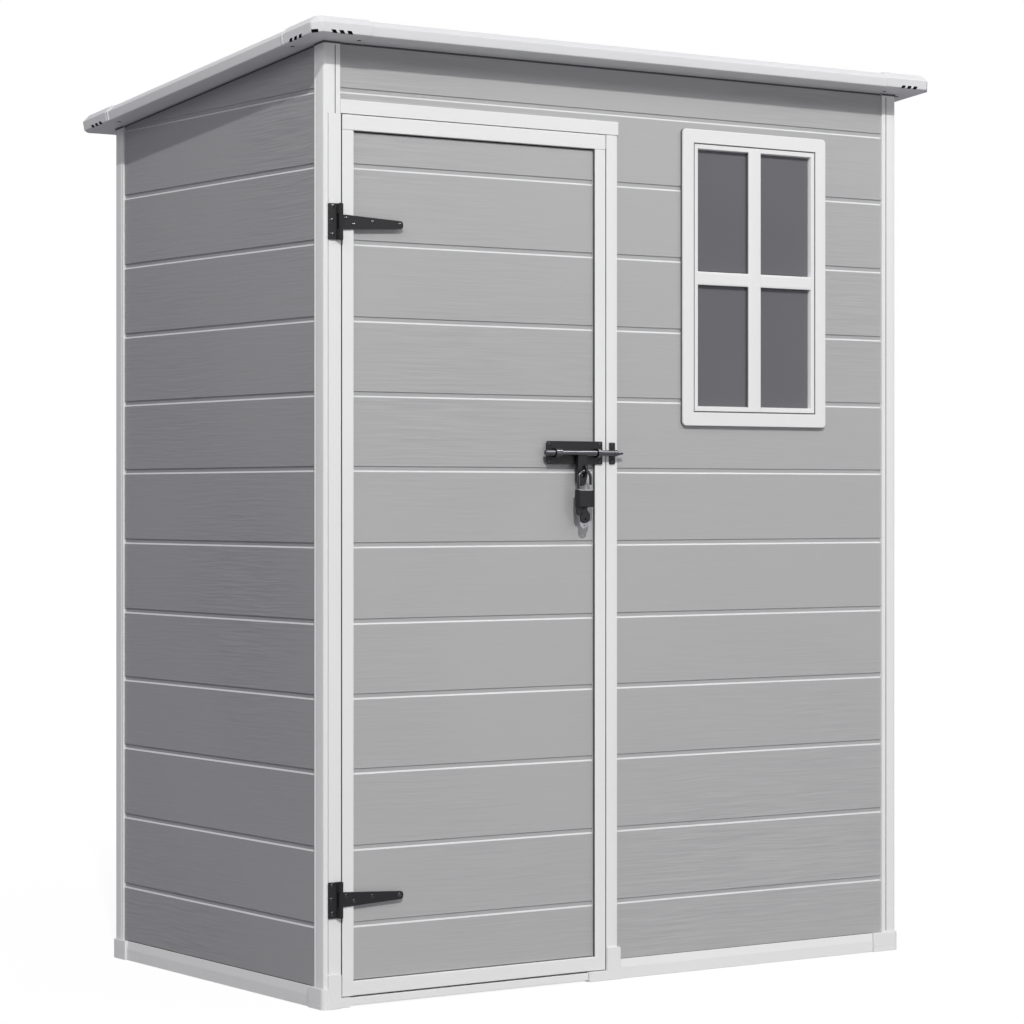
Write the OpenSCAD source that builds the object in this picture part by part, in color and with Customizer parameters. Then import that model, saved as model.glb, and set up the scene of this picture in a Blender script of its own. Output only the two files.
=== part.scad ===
// Lean-to storage shed of moulded resin panels, with one hinged door,
// a four-pane window, a white frame and a mono-pitch roof.
// Every piece is drawn from the front left corner at the ground: X runs along
// the front, Y into the shed, Z up. centred() then moves the corner so that the
// origin is in the middle of the base.

/* [Shed] */
// Width over the corner posts
body_w = 1520; // [1300:10:1900]
// Depth over the corner posts
body_d = 900; // [700:10:1300]
// Height of the roof's underside at the front wall
front_h = 1948; // [1800:1:2100]
// How far the roof falls from the front wall to the back wall
roof_fall = 92; // [40:1:160]

/* [Walls] */
// Thickness of a double-skinned wall panel
wall_t = 20; // [14:0.5:30]
// How far the wall panels lie behind the faces of the posts
wall_set_back = 4; // [2:0.5:8]
// Height of the lowest plank joint
first_joint_h = 162; // [120:1:165]
// Pitch of the two taller planks in the moulding's pattern of four
tall_plank = 154.7; // [130:0.1:180]
// Pitch of the two shorter planks in the pattern
short_plank = 151.5; // [130:0.1:180]
// Height of the groove between two planks
joint_h = 10; // [6:0.5:16]
// Depth of the groove between two planks
joint_deep = 3.5; // [2:0.1:6]
// Height of the bevel on a plank's top edge
plank_bevel = 3; // [1:0.1:5]

/* [Posts] */
// Width of a corner post on the front and back
post_w = 40; // [36:0.5:60]
// Width of a corner post on the side walls
post_side_w = 36.5; // [30:0.5:60]
// Thickness of a corner post's legs
post_t = 27; // [26:0.5:34]
// Radius of a post's outer corner
post_round = 5; // [2:0.5:8]
// Width of the post beside the door
door_post_w = 30; // [24:0.5:50]
// How far the door post's stop reaches behind the door
stop_lap = 12; // [8:0.5:20]
// Thickness of the door post's stop
stop_t = 6; // [4:0.5:10]

/* [Base] */
// Height of the white base skirt
skirt_h = 44; // [36:1:70]
// Height of the chamfer along the skirt's upper edge
skirt_chamfer = 13; // [6:1:20]
// Width of the skirt's foot under the wall
skirt_w = 34; // [30:1:60]
// Height at which the walls and posts stand in the base
seat_h = 12; // [8:1:20]
// Thickness of the floor
floor_t = 21; // [16:0.5:24]
// How far the feet stand proud of the posts
foot_proud = 4.5; // [3:0.5:8]
// Height of a corner foot
foot_h = 44; // [36:1:60]
// Length of a corner foot along the front or back
foot_front_l = 67; // [62:1:120]
// Length of a corner foot along the side
foot_side_l = 54; // [48:1:120]
// Height of the taller feet beside the door
door_foot_h = 70; // [50:1:110]
// How far the door post's foot reaches past the post over the front wall
door_foot_lap = 8; // [4:0.5:20]
// Length of the door post foot's tongue under the door
foot_tongue = 45; // [20:1:90]
// Radius of a foot's outer corner
foot_round = 9; // [4:0.5:14]

/* [Door] */
// Clear width between the corner post and the door post
doorway_w = 663; // [560:1:760]
// Height of the wall between the header and the roof's underside
over_door_h = 118; // [90:1:200]
// Height of the header
header_h = 27; // [20:1:40]
// How far the header reaches past the door post over the front wall
header_lap = 2; // [1:0.5:8]
// How far the header stands proud of the posts
header_proud = 3; // [1:0.5:6]
// Thickness of the door's frame
door_t = 26; // [20:0.5:26]
// Width of the door's two stiles
stile_w = 27; // [20:0.5:50]
// Height of the door's top and bottom rails
rail_h = 31; // [20:0.5:60]
// How far the door's panel lies behind its frame
door_set_back = 7; // [3:0.5:10]
// Gap at the hinge side, over and under the door
door_gap = 5; // [5:0.5:8]
// Gap at the latch side, where the back edge swings wider
latch_gap = 6; // [6:0.5:9]

/* [Window] */
// Distance of the window's frame from the shed's left side
window_x = 907; // [850:1:930]
// Distance of the frame's top under the roof's underside
window_drop = 117; // [95:1:200]
// Width of the window's frame
window_w = 402; // [340:1:440]
// Height of the window's frame
window_h = 645; // [500:1:660]
// Width of the frame's flange over the wall
flange_w = 31; // [20:0.5:40]
// Width of the stepped bead inside the flange
bead_w = 12; // [6:0.5:20]
// How far the frame stands proud of the wall
frame_proud = 9; // [4:0.5:14]
// Radius of the frame's corners
frame_round = 9; // [3:0.5:20]
// Width of the bar between the left and right panes
mullion_w = 36; // [20:0.5:50]
// Height of the bar between the upper and lower panes
transom_h = 32; // [20:0.5:50]
// Height of the bar's middle over the frame's lower edge
transom_z = 322; // [240:1:340]
// Thickness of the panes
pane_t = 3; // [2:0.5:5]

/* [Roof] */
// How far the roof reaches past the posts at the front
eaves_front = 65; // [50:1:120]
// How far the roof reaches past the posts at the back
eaves_back = 65; // [50:1:120]
// How far the roof reaches past the posts at the sides
eaves_side = 58; // [45:1:120]
// Height of the fascia's outer face
fascia_h = 21; // [14:0.5:30]
// Height and width of the bevel over the fascia
fascia_bevel = 15; // [8:0.5:20]
// Width of the trim around the roof panel
trim_w = 58; // [45:1:90]
// Thickness of the roof panel
roof_t = 30; // [16:0.5:32]
// Length of a corner cap along each edge
cap_l = 138; // [100:1:220]
// How far a corner cap stands proud of the trims
cap_proud = 2; // [1:0.5:3]
// Length cut off the roof's corners along each edge
corner_cut = 18; // [8:1:30]

/* [Hinges] */
// Distance of the upper hinge's middle under the door's top
upper_hinge_drop = 213; // [100:1:400]
// Height of the lower hinge's middle over the door's bottom
lower_hinge_rise = 193; // [110:1:400]
// Height of the leaf on the corner post
leaf_h = 73; // [60:1:90]
// Distance of the leaf's outer edge from the post's corner
leaf_x = 10; // [6:0.5:14]
// Thickness of the steel leaf and strap
steel_t = 3; // [2:0.1:4]
// Distance of the pin's axis from the post's door edge
pin_inset = 3; // [2.5:0.1:5]
// Distance of the pin's axis in front of the door's face
pin_out = 6; // [5.6:0.1:8]
// Radius of the hinge's barrel
barrel_r = 5.5; // [4.8:0.1:5.5]
// Radius of the hinge's pin
pin_r = 2.5; // [2:0.1:3.2]
// Clearance between the leaf and the strap's knuckle
leaf_clear = 1.2; // [0.8:0.1:2]
// Radial clearance between a pin and its bore
pin_fit = 0.05; // [0.03:0.01:0.1]
// Length of the strap over the door, from the pin's axis
strap_l = 153; // [110:1:220]
// Height of the strap at the pin
strap_root_h = 30; // [24:1:40]
// Height of the strap's rounded tip
strap_tip_h = 16; // [10:1:20]

/* [Bolt] */
// Height of the bolt's axis over the door's bottom
bolt_rise = 1098; // [900:1:1200]
// Radius of the bolt's rod
rod_r = 6.5; // [5:0.1:7]
// Distance of the rod's axis in front of the door's face
rod_out = 11.5; // [11:0.1:14]
// How far the shot rod reaches past the door's edge
rod_reach = 43; // [38:1:50]
// Length of the rod
rod_l = 203; // [190:1:240]
// Length of the bolt's plate
bolt_plate_w = 145; // [125:1:170]
// Height of the bolt's plate
bolt_plate_h = 49; // [40:1:60]
// Distance of the plate's edge from the door's edge
bolt_plate_inset = 5; // [3:0.5:12]
// Length of a guide loop along the rod
guide_w = 8; // [6:0.5:12]
// Distance of each guide from the plate's nearer end
guide_inset = 18; // [12:0.5:24]
// Clearance between the rod and a loop
guide_fit = 0.5; // [0.3:0.1:1]
// Metal of a guide loop around its bore
guide_wall = 2.5; // [2:0.1:4]
// Width of the keeper's plate
keeper_w = 15; // [12:0.5:20]
// Height of the keeper's plate
keeper_h = 46; // [36:1:60]

/* [Padlock] */
// Distance between the padlock's middle and the bolt plate's inner end
lock_x = 87; // [78:1:95]
// Width of the padlock's body
lock_w = 46; // [40:0.5:52]
// Height of the padlock's body
lock_h = 37.5; // [30:0.5:50]
// Thickness of the padlock's body
lock_t = 19; // [14:0.5:20]
// Distance of the padlock's middle in front of the door's face
lock_out = 18; // [17:0.5:24]
// Distance of the padlock's top below the bolt's axis
lock_drop = 77; // [70:1:90]
// Distance between the shackle's legs
shackle_gap = 30; // [28:0.5:32]
// Thickness of the shackle
shackle_t = 6.5; // [5:0.1:7]
// Height of the opened shackle over the padlock's top
shackle_h = 42.5; // [38:0.5:48]
// Length of the shackle's free leg below its bow
free_leg = 14; // [10:0.5:18]
// Thickness of the bolt's tongue
tongue_t = 5; // [3:0.1:6]
// Width of the key's head
key_w = 26; // [18:0.5:34]
// How far the key reaches below the padlock
key_drop = 34; // [28:0.5:44]
// Thickness of the key's head
key_t = 6; // [4:0.5:8]

/* [Hidden] */
$fn = 48;

white = "#e9e9e8";
grey = "#a5a5a4";
glass_grey = "#6e7072";
black = "#2b2b2c";
steel = "#b4b4b0";

seam = 0.2;                              // gap left at every butt joint
over = 10;                               // how far a cutter passes its work
pitch = atan(roof_fall / body_d);
wall_end_x = post_w + seam;
wall_end_y = post_side_w + seam;
post_z = seat_h + seam;
wall_z = seat_h + seam;
skirt_face_h = skirt_h - skirt_chamfer;
stop_gap = 5;                            // between the shut door and its stops

doorway_h = front_h - over_door_h - header_h;
door_post_x = post_w + doorway_w;
door_post_end = door_post_x + door_post_w;
foot_door_x1 = door_post_end + door_foot_lap;
over_header = doorway_h + header_h + seam;
door_x0 = post_w + door_gap;
door_x1 = door_post_x - latch_gap;
door_z0 = floor_t + door_gap;
door_z1 = doorway_h - door_gap;
panel_t = door_t - door_set_back;
stop_x = door_x1 - stop_lap;             // the door post's stop laps the door's edge
stop_y = door_t + stop_gap;

upper_hinge_z = door_z1 - upper_hinge_drop;
lower_hinge_z = door_z0 + lower_hinge_rise;
pin_x = post_w - pin_inset;
bolt_z = door_z0 + bolt_rise;
plate_x1 = door_x1 - bolt_plate_inset;
plate_x0 = plate_x1 - bolt_plate_w;
rod_x1 = door_x1 + rod_reach;
rod_x0 = rod_x1 - rod_l;
lock_cx = plate_x0 + lock_x;
lock_top = bolt_z - lock_drop;
bow_r = shackle_gap / 2;
wire_r = shackle_t / 2;
bow_z = lock_top + shackle_h - bow_r - wire_r;

// Height of the roof's underside at depth y
function under_roof_z(y) = front_h - roof_fall * y / body_d;

// Height of plank joint k: two taller planks, then two shorter ones, over and over
function joint_z(k) = first_joint_h
    + floor(k / 4) * 2 * (tall_plank + short_plank)
    + min(k % 4, 2) * tall_plank
    + max(k % 4 - 2, 0) * short_plank;

// The joints between heights z0 and z1
function joints(z0, z1) = [for (k = [0:40]) let (z = joint_z(k))
    if (z > z0 + joint_h && z < z1 - 2 * joint_h) z];

// Section of a planked panel: outer face at 0 with a groove at each joint,
// a bevel under the groove and a sharp lip over it
function plank_section(z0, z1, t) = concat(
    [[t, z0], [0, z0]],
    [for (z = joints(z0, z1)) each [
        [0, z - plank_bevel / 2],
        [joint_deep, z + plank_bevel / 2],
        [joint_deep, z + joint_h - plank_bevel / 3],
        [0, z + joint_h]]],
    [[0, z1], [t, z1]]);

module centred() {
    translate([-body_w / 2, -body_d / 2, 0]) children();
}

// Box between two corners
module box(a, b) {
    translate(a) cube(b - a);
}

// Extrudes an outline drawn in Y and Z from x0 to x1
module along_x(x0, x1) {
    translate([x0, 0, 0]) rotate([90, 0, 90]) linear_extrude(x1 - x0) children();
}

// Extrudes an outline drawn in X and Z from y0 to y1
module along_y(y0, y1) {
    translate([0, y1, 0]) rotate([90, 0, 0]) linear_extrude(y1 - y0) children();
}

// Cuts what stands on the base off just under the roof
module under_roof() {
    y0 = -eaves_front;
    y1 = body_d + eaves_back;
    intersection() {
        children();
        along_x(-eaves_side, body_w + eaves_side)
            polygon([[y0, -over], [y1, -over],
                     [y1, under_roof_z(y1) - seam], [y0, under_roof_z(y0) - seam]]);
    }
}

// Turns children drawn at the left end to the right end, and at the front to the back
module at_corner(right, back) {
    translate([right ? body_w : 0, back ? body_d : 0, 0])
        mirror([right ? 1 : 0, 0, 0]) mirror([0, back ? 1 : 0, 0]) children();
}

// Outline with one rounded corner at the origin
module one_round(w, d, r) {
    union() {
        translate([r, r]) circle(r);
        translate([r, 0]) square([w - r, d]);
        translate([0, r]) square([w, d - r]);
    }
}

// ---- base ----

module floor_slab() {
    edge = skirt_w + seam;
    centred() color(grey) difference() {
        box([edge, edge, 0], [body_w - edge, body_d - edge, floor_t]);
        for (right = [0, 1], back = [0, 1])
            at_corner(right, back)
                translate([0, 0, -over])
                    cube([post_w + seam, post_side_w + seam, floor_t + 2 * over]);
    }
}

// Section of a skirt: a lip in front of the wall and a ledge under it
module skirt_section() {
    lip = wall_set_back - seam;
    polygon([[0, 0], [skirt_w, 0], [skirt_w, seat_h], [lip, seat_h],
             [lip, skirt_h], [lip - 1, skirt_h], [0, skirt_face_h]]);
}

module base_front() {
    centred() color(white)
        along_x(foot_door_x1 + seam, body_w - foot_front_l - seam) skirt_section();
}

module base_back() {
    centred() color(white) translate([0, body_d, 0]) mirror([0, 1, 0])
        along_x(foot_front_l + seam, body_w - foot_front_l - seam) skirt_section();
}

module base_side(right) {
    centred() color(white) at_corner(right, 0)
        along_y(foot_side_l + seam, body_d - foot_side_l - seam) skirt_section();
}

module door_sill() {
    inset = 1.5;
    centred() color(white)
        box([post_w + seam, inset, 0], [door_post_x - foot_tongue - seam, skirt_w, floor_t]);
}

// A corner foot: a plinth under the post and the walls' ends, with a rim around
// its outer sides that closes up to the post and the walls
module corner_foot(right, back, front_l, rim_h) {
    p = foot_proud;
    wall_face = wall_set_back - seam;
    centred() color(white) at_corner(right, back) difference() {
        union() {
            linear_extrude(seat_h) translate([-p, -p]) foot_plan(front_l, skirt_w);
            translate([0, 0, seat_h]) linear_extrude(foot_h - seat_h)
                translate([-p, -p]) foot_plan(front_l, wall_face);
            if (rim_h > foot_h)
                box([leaf_x, -p, foot_h], [post_w, -seam, rim_h]);
        }
        translate([-seam, -seam, seat_h]) linear_extrude(rim_h)
            one_round(post_w + 2 * seam, post_side_w + 2 * seam, post_round);
    }
}

// L-shaped plan of a corner foot with arms of a given width behind the posts' faces
module foot_plan(front_l, arm) {
    p = foot_proud;
    intersection() {
        one_round(front_l + p, foot_side_l + p, foot_round);
        union() {
            square([front_l + p, arm + p]);
            square([arm + p, foot_side_l + p]);
            square([post_w + p, post_side_w + p]);
        }
    }
}

// Foot of the door post, with a tongue that carries on the sill under the door
module foot_door_post() {
    p = foot_proud;
    centred() color(white) union() {
        box([door_post_x, -p, 0], [foot_door_x1, skirt_w, seat_h]);
        box([door_post_x, -p, 0], [foot_door_x1, -seam, door_foot_h]);
        box([door_post_x - foot_tongue, -p, 0], [door_post_end, skirt_w, floor_t]);
    }
}

// ---- posts ----

// L-shaped corner post with a rounded outer corner, standing in its foot
module corner_post(right, back) {
    centred() under_roof() color(white) at_corner(right, back)
        translate([0, 0, post_z]) linear_extrude(front_h) difference() {
            one_round(post_w, post_side_w, post_round);
            translate([post_t, post_t]) square([post_w, post_side_w]);
        }
}

// Post beside the door, with a stop behind the door's edge
module door_post() {
    centred() color(white)
        translate([0, 0, floor_t + seam]) linear_extrude(doorway_h - floor_t - 2 * seam)
            polygon([[door_post_x, 0], [door_post_end, 0], [door_post_end, stop_y + stop_t],
                     [stop_x, stop_y + stop_t], [stop_x, stop_y], [door_post_x, stop_y]]);
}

// Header over the door, with a stop behind the door's top edge and a lap over the wall
module door_header() {
    back = stop_y + stop_t;
    top = doorway_h + header_h;
    centred() color(white) union() {
        box([wall_end_x, -header_proud, doorway_h], [door_post_end, back, top]);
        box([wall_end_x, stop_y, door_z1 - stop_lap], [stop_x - seam, back, top]);
        box([wall_end_x, -header_proud, doorway_h],
            [door_post_end + header_lap, wall_set_back - seam, top]);
    }
}

// ---- walls ----

module front_panel(x0, x1, z0) {
    along_x(x0, x1)
        translate([wall_set_back, 0]) polygon(plank_section(z0, front_h, wall_t));
}

module front_wall() {
    hole = flange_w - bead_w;
    centred() under_roof() color(grey) difference() {
        front_panel(door_post_end + seam, body_w - wall_end_x, wall_z);
        box([window_x + hole, -over, window_z + hole],
            [window_x + window_w - hole, wall_set_back + wall_t + over,
             window_z + window_h - hole]);
    }
}

module wall_over_door() {
    centred() under_roof() color(grey)
        front_panel(wall_end_x, door_post_end, over_header);
}

module back_wall() {
    centred() under_roof() color(grey)
        translate([0, body_d, 0]) mirror([0, 1, 0])
            front_panel(wall_end_x, body_w - wall_end_x, wall_z);
}

module side_wall(right) {
    centred() under_roof() color(grey) at_corner(right, 0)
        along_y(wall_end_y, body_d - wall_end_y)
            translate([wall_set_back, 0]) polygon(plank_section(wall_z, front_h, wall_t));
}

// ---- window ----

// Outline with four rounded corners
module round_rect(w, h, r) {
    union() {
        translate([r, 0]) square([w - 2 * r, h]);
        translate([0, r]) square([w, h - 2 * r]);
        for (x = [r, w - r], y = [r, h - r]) translate([x, y]) circle(r);
    }
}

window_z = front_h - window_drop - window_h;
glass_y = wall_set_back + 2;
sash_w = window_w - 2 * (flange_w + bead_w);
sash_h = window_h - 2 * (flange_w + bead_w);
pane_w = (sash_w - mullion_w) / 2;
transom_mid = transom_z - flange_w - bead_w;

// Lower left corners and heights of the openings between the bars
function lights() = [
    for (x = [0, pane_w + mullion_w])
        each [[x, 0, transom_mid - transom_h / 2],
              [x, transom_mid + transom_h / 2, sash_h - transom_mid - transom_h / 2]]];

module in_window() {
    translate([window_x, 0, window_z]) children();
}

module window_frame() {
    front = wall_set_back - frame_proud;
    body = flange_w - bead_w + seam;
    edge = flange_w + bead_w;
    centred() color(white) in_window() difference() {
        union() {
            along_y(front, wall_set_back - seam) difference() {
                round_rect(window_w, window_h, frame_round);
                translate([flange_w, flange_w])
                    square([window_w - 2 * flange_w, window_h - 2 * flange_w]);
            }
            along_y(front + 3, wall_set_back + wall_t)
                translate([body, body]) square([window_w - 2 * body, window_h - 2 * body]);
        }
        for (p = lights())
            along_y(front - over, wall_set_back + wall_t + over)
                translate([edge + p[0], edge + p[1]]) square([pane_w, p[2]]);
    }
}

module window_panes() {
    edge = flange_w + bead_w;
    centred() color(glass_grey) in_window()
        for (p = lights())
            along_y(glass_y, glass_y + pane_t)
                translate([edge + p[0] + seam, edge + p[1] + seam])
                    square([pane_w - 2 * seam, p[2] - 2 * seam]);
}

// ---- roof ----
// The roof is drawn flat about the middle of its underside: X along the front,
// Y down the slope and Z square to the slope.

half_w = body_w / 2 + eaves_side;
half_l = ((body_d + eaves_front + eaves_back) - fascia_h * sin(pitch)) / 2 / cos(pitch);
half_corner = (half_w + half_l - corner_cut) / sqrt(2);
roof_mid = (eaves_back - eaves_front - fascia_h * sin(pitch)) / 2;

module on_roof() {
    translate([0, roof_mid, under_roof_z(body_d / 2 + roof_mid)])
        rotate([-pitch, 0, 0]) children();
}

// Section across the roof, a bevelled slab whose faces are at plus and minus half
module roof_section(half, inset) {
    h = half - inset;
    top = fascia_h + fascia_bevel - inset;
    run = top - fascia_h;
    polygon([[-h, 0], [h, 0], [h, fascia_h], [h - run, top], [-h + run, top], [-h, fascia_h]]);
}

// The whole roof's outer form, with bevelled edges and cut corners
module roof_form(inset) {
    reach = half_w + half_l;
    intersection() {
        along_y(-reach, reach) roof_section(half_w, inset);
        along_x(-reach, reach) roof_section(half_l, inset);
        rotate([0, 0, 45]) along_y(-reach, reach) roof_section(half_corner, inset);
        rotate([0, 0, -45]) along_y(-reach, reach) roof_section(half_corner, inset);
    }
}

module roof_panel() {
    w = half_w - trim_w - seam;
    l = half_l - trim_w - seam;
    color(white) on_roof() box([-w, -l, 0], [w, l, roof_t]);
}

// Trim between two corner caps, along the front or back
module trim_across(back) {
    z1 = fascia_h + fascia_bevel;
    w = half_w - cap_l - seam;
    color(white) on_roof() mirror([0, back ? 1 : 0, 0]) intersection() {
        roof_form(cap_proud);
        box([-w, -half_l, 0], [w, -half_l + trim_w, z1]);
    }
}

// Trim between two corner caps, down the slope
module trim_down(right) {
    z1 = fascia_h + fascia_bevel;
    l = half_l - cap_l - seam;
    color(white) on_roof() mirror([right ? 1 : 0, 0, 0]) intersection() {
        roof_form(cap_proud);
        box([-half_w, -l, 0], [-half_w + trim_w, l, z1]);
    }
}

module roof_cap(right, back) {
    z1 = fascia_h + fascia_bevel;
    color(white) on_roof() mirror([right ? 1 : 0, 0, 0]) mirror([0, back ? 1 : 0, 0])
        intersection() {
            roof_form(0);
            difference() {
                box([-half_w, -half_l, 0], [-half_w + cap_l, -half_l + cap_l, z1]);
                box([-half_w + trim_w, -half_l + trim_w, -over],
                    [half_w, half_l, z1 + over]);
            }
        }
}

// ---- hinges ----

knuckle_h = (leaf_h - strap_root_h) / 2;

// Leaf screwed to the post, with an outer knuckle at each end and the pin
module hinge_leaf(z) {
    centred() color(black) translate([pin_x, -pin_out, z]) {
        difference() {
            union() {
                box([leaf_x - pin_x, pin_out - steel_t, -leaf_h / 2],
                    [0, pin_out - seam, leaf_h / 2]);
                translate([0, 0, -leaf_h / 2]) cylinder(r = barrel_r, h = leaf_h);
            }
            translate([0, 0, -strap_root_h / 2 - seam])
                cylinder(r = barrel_r + leaf_clear, h = strap_root_h + 2 * seam);
        }
        translate([0, 0, -leaf_h / 2 - 1]) cylinder(r = pin_r, h = leaf_h + 2);
    }
}

// Tapered strap on the door, with the middle knuckle around the pin
module hinge_strap(z) {
    tip_r = strap_tip_h / 2;
    centred() color(black) translate([pin_x, -pin_out, z]) difference() {
        union() {
            translate([0, 0, -strap_root_h / 2]) cylinder(r = barrel_r, h = strap_root_h);
            along_y(pin_out - steel_t, pin_out - seam) union() {
                polygon([[0, -strap_root_h / 2], [12, -strap_root_h / 2],
                         [strap_l - tip_r, -tip_r], [strap_l - tip_r, tip_r],
                         [12, strap_root_h / 2], [0, strap_root_h / 2]]);
                translate([strap_l - tip_r, 0]) circle(tip_r);
            }
        }
        translate([0, 0, -strap_root_h]) cylinder(r = pin_r + pin_fit, h = 2 * strap_root_h);
    }
}

// ---- door ----

module door_frame() {
    centred() color(white) difference() {
        box([door_x0, 0, door_z0], [door_x1, door_t, door_z1]);
        box([door_x0 + stile_w, -over, door_z0 + rail_h],
            [door_x1 - stile_w, door_t + over, door_z1 - rail_h]);
    }
}

module door_panel() {
    centred() color(grey)
        along_x(door_x0 + stile_w + seam, door_x1 - stile_w - seam)
            translate([door_set_back, 0])
                polygon(plank_section(door_z0 + rail_h + seam, door_z1 - rail_h - seam, panel_t));
}

// ---- bolt ----

// Saddle around the rod, from the plate's face out
module guide_loop(x) {
    r = rod_r + guide_fit + guide_wall;
    translate([x - guide_w / 2, 0, bolt_z]) difference() {
        union() {
            box([0, -rod_out, -r], [guide_w, -steel_t, r]);
            translate([0, -rod_out, 0]) rotate([0, 90, 0]) cylinder(r = r, h = guide_w);
        }
        translate([-over, -rod_out, 0]) rotate([0, 90, 0])
            cylinder(r = rod_r + guide_fit, h = guide_w + 2 * over);
    }
}

// Plate with two guides, packed out over the set-back panel
module bolt_plate() {
    z0 = bolt_z + 0.5 - bolt_plate_h / 2;
    z1 = z0 + bolt_plate_h;
    pack_x1 = door_x1 - stile_w - seam;
    centred() color(black) {
        box([plate_x0, -steel_t, z0], [plate_x1, -seam, z1]);
        box([plate_x0 + 4, -seam, z0 + 4], [pack_x1, door_set_back - seam, z1 - 4]);
        guide_loop(plate_x0 + guide_inset);
        guide_loop(plate_x1 - guide_inset);
    }
}

module bolt_keeper() {
    x = door_post_x + door_post_w / 2;
    centred() color(black) {
        box([x - keeper_w / 2, -steel_t, bolt_z - keeper_h / 2],
            [x + keeper_w / 2, -seam, bolt_z + keeper_h / 2]);
        guide_loop(x);
    }
}

// Rod with a rounded tip, and the tongue whose eye the padlock hangs from
module bolt_rod() {
    x0 = lock_cx - bow_r + wire_r + 0.75;
    tongue_x1 = x0 + tongue_t - lock_cx;
    low = sqrt(pow(bow_r - wire_r, 2) - pow(x0 - lock_cx, 2));
    high = sqrt(pow(bow_r + wire_r, 2) - pow(tongue_x1, 2));
    eye_z = bow_z + (low + high) / 2;
    eye_r = (high - low) / 2 + 0.9;
    lug_r = eye_r + 3.5;
    centred() color(black) difference() {
        union() {
            translate([rod_x0, -rod_out, bolt_z]) rotate([0, 90, 0]) {
                cylinder(r = rod_r, h = rod_l - rod_r);
                translate([0, 0, rod_l - rod_r]) sphere(rod_r);
            }
            translate([x0, -lock_out, eye_z]) rotate([0, 90, 0]) cylinder(r = lug_r, h = tongue_t);
            box([x0, -lock_out - lug_r, eye_z], [x0 + tongue_t, -rod_out + rod_r / 2, bolt_z]);
        }
        translate([x0 - over, -lock_out, eye_z]) rotate([0, 90, 0])
            cylinder(r = eye_r, h = tongue_t + 2 * over);
    }
}

// ---- padlock ----

module padlock_body() {
    r = lock_t / 2;
    centred() color(black) translate([lock_cx, -lock_out, lock_top - lock_h]) {
        linear_extrude(lock_h) union() {
            for (x = [-1, 1]) translate([x * (lock_w / 2 - r), 0]) circle(r);
            translate([-lock_w / 2 + r, -r]) square([lock_w - 2 * r, lock_t]);
        }
    }
}

// Open shackle: one leg in the body, a half-round bow and a shorter free leg
module padlock_shackle() {
    centred() color(steel) translate([lock_cx, -lock_out, bow_z]) {
        rotate([90, 0, 0]) rotate_extrude(angle = 180) translate([bow_r, 0]) circle(wire_r);
        translate([-bow_r, 0, lock_top + seam - bow_z])
            cylinder(r = wire_r, h = bow_z - lock_top - seam);
        translate([bow_r, 0, -free_leg]) cylinder(r = wire_r, h = free_leg);
    }
}

// Key in the padlock's underside: a round head with a hole, and its neck
module padlock_key() {
    r = key_w / 2;
    low = lock_top - lock_h;
    centred() color(steel) translate([lock_cx, -lock_out, low]) difference() {
        union() {
            box([-r / 3, -key_t / 4, r - key_drop], [r / 3, key_t / 4, -seam]);
            translate([0, key_t / 2, r - key_drop]) rotate([90, 0, 0]) cylinder(r = r, h = key_t);
        }
        translate([0, over, r / 2 - key_drop]) rotate([90, 0, 0]) cylinder(r = r / 4, h = 2 * over);
    }
}

floor_slab();  // floor
base_front();
base_back();
base_side(0);  // base_left
base_side(1);  // base_right
door_sill();
corner_foot(0, 0, post_w, door_foot_h);  // foot_front_left
corner_foot(1, 0, foot_front_l, foot_h);  // foot_front_right
corner_foot(0, 1, foot_front_l, foot_h);  // foot_back_left
corner_foot(1, 1, foot_front_l, foot_h);  // foot_back_right
foot_door_post();
corner_post(0, 0);  // post_front_left
corner_post(1, 0);  // post_front_right
corner_post(0, 1);  // post_back_left
corner_post(1, 1);  // post_back_right
door_post();
door_header();
front_wall();
wall_over_door();
side_wall(0);  // left_wall
side_wall(1);  // right_wall
back_wall();
window_frame();
window_panes();
roof_panel();
trim_across(0);  // roof_trim_front
trim_across(1);  // roof_trim_back
trim_down(0);  // roof_trim_left
trim_down(1);  // roof_trim_right
roof_cap(0, 0);  // roof_cap_front_left
roof_cap(1, 0);  // roof_cap_front_right
roof_cap(0, 1);  // roof_cap_back_left
roof_cap(1, 1);  // roof_cap_back_right
hinge_leaf(upper_hinge_z);  // hinge_leaf_upper
hinge_leaf(lower_hinge_z);  // hinge_leaf_lower
bolt_keeper();
door_panel();
door_frame();
hinge_strap(upper_hinge_z);  // hinge_strap_upper
hinge_strap(lower_hinge_z);  // hinge_strap_lower
bolt_plate();
bolt_rod();
padlock_body();
padlock_shackle();
padlock_key();
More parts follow.
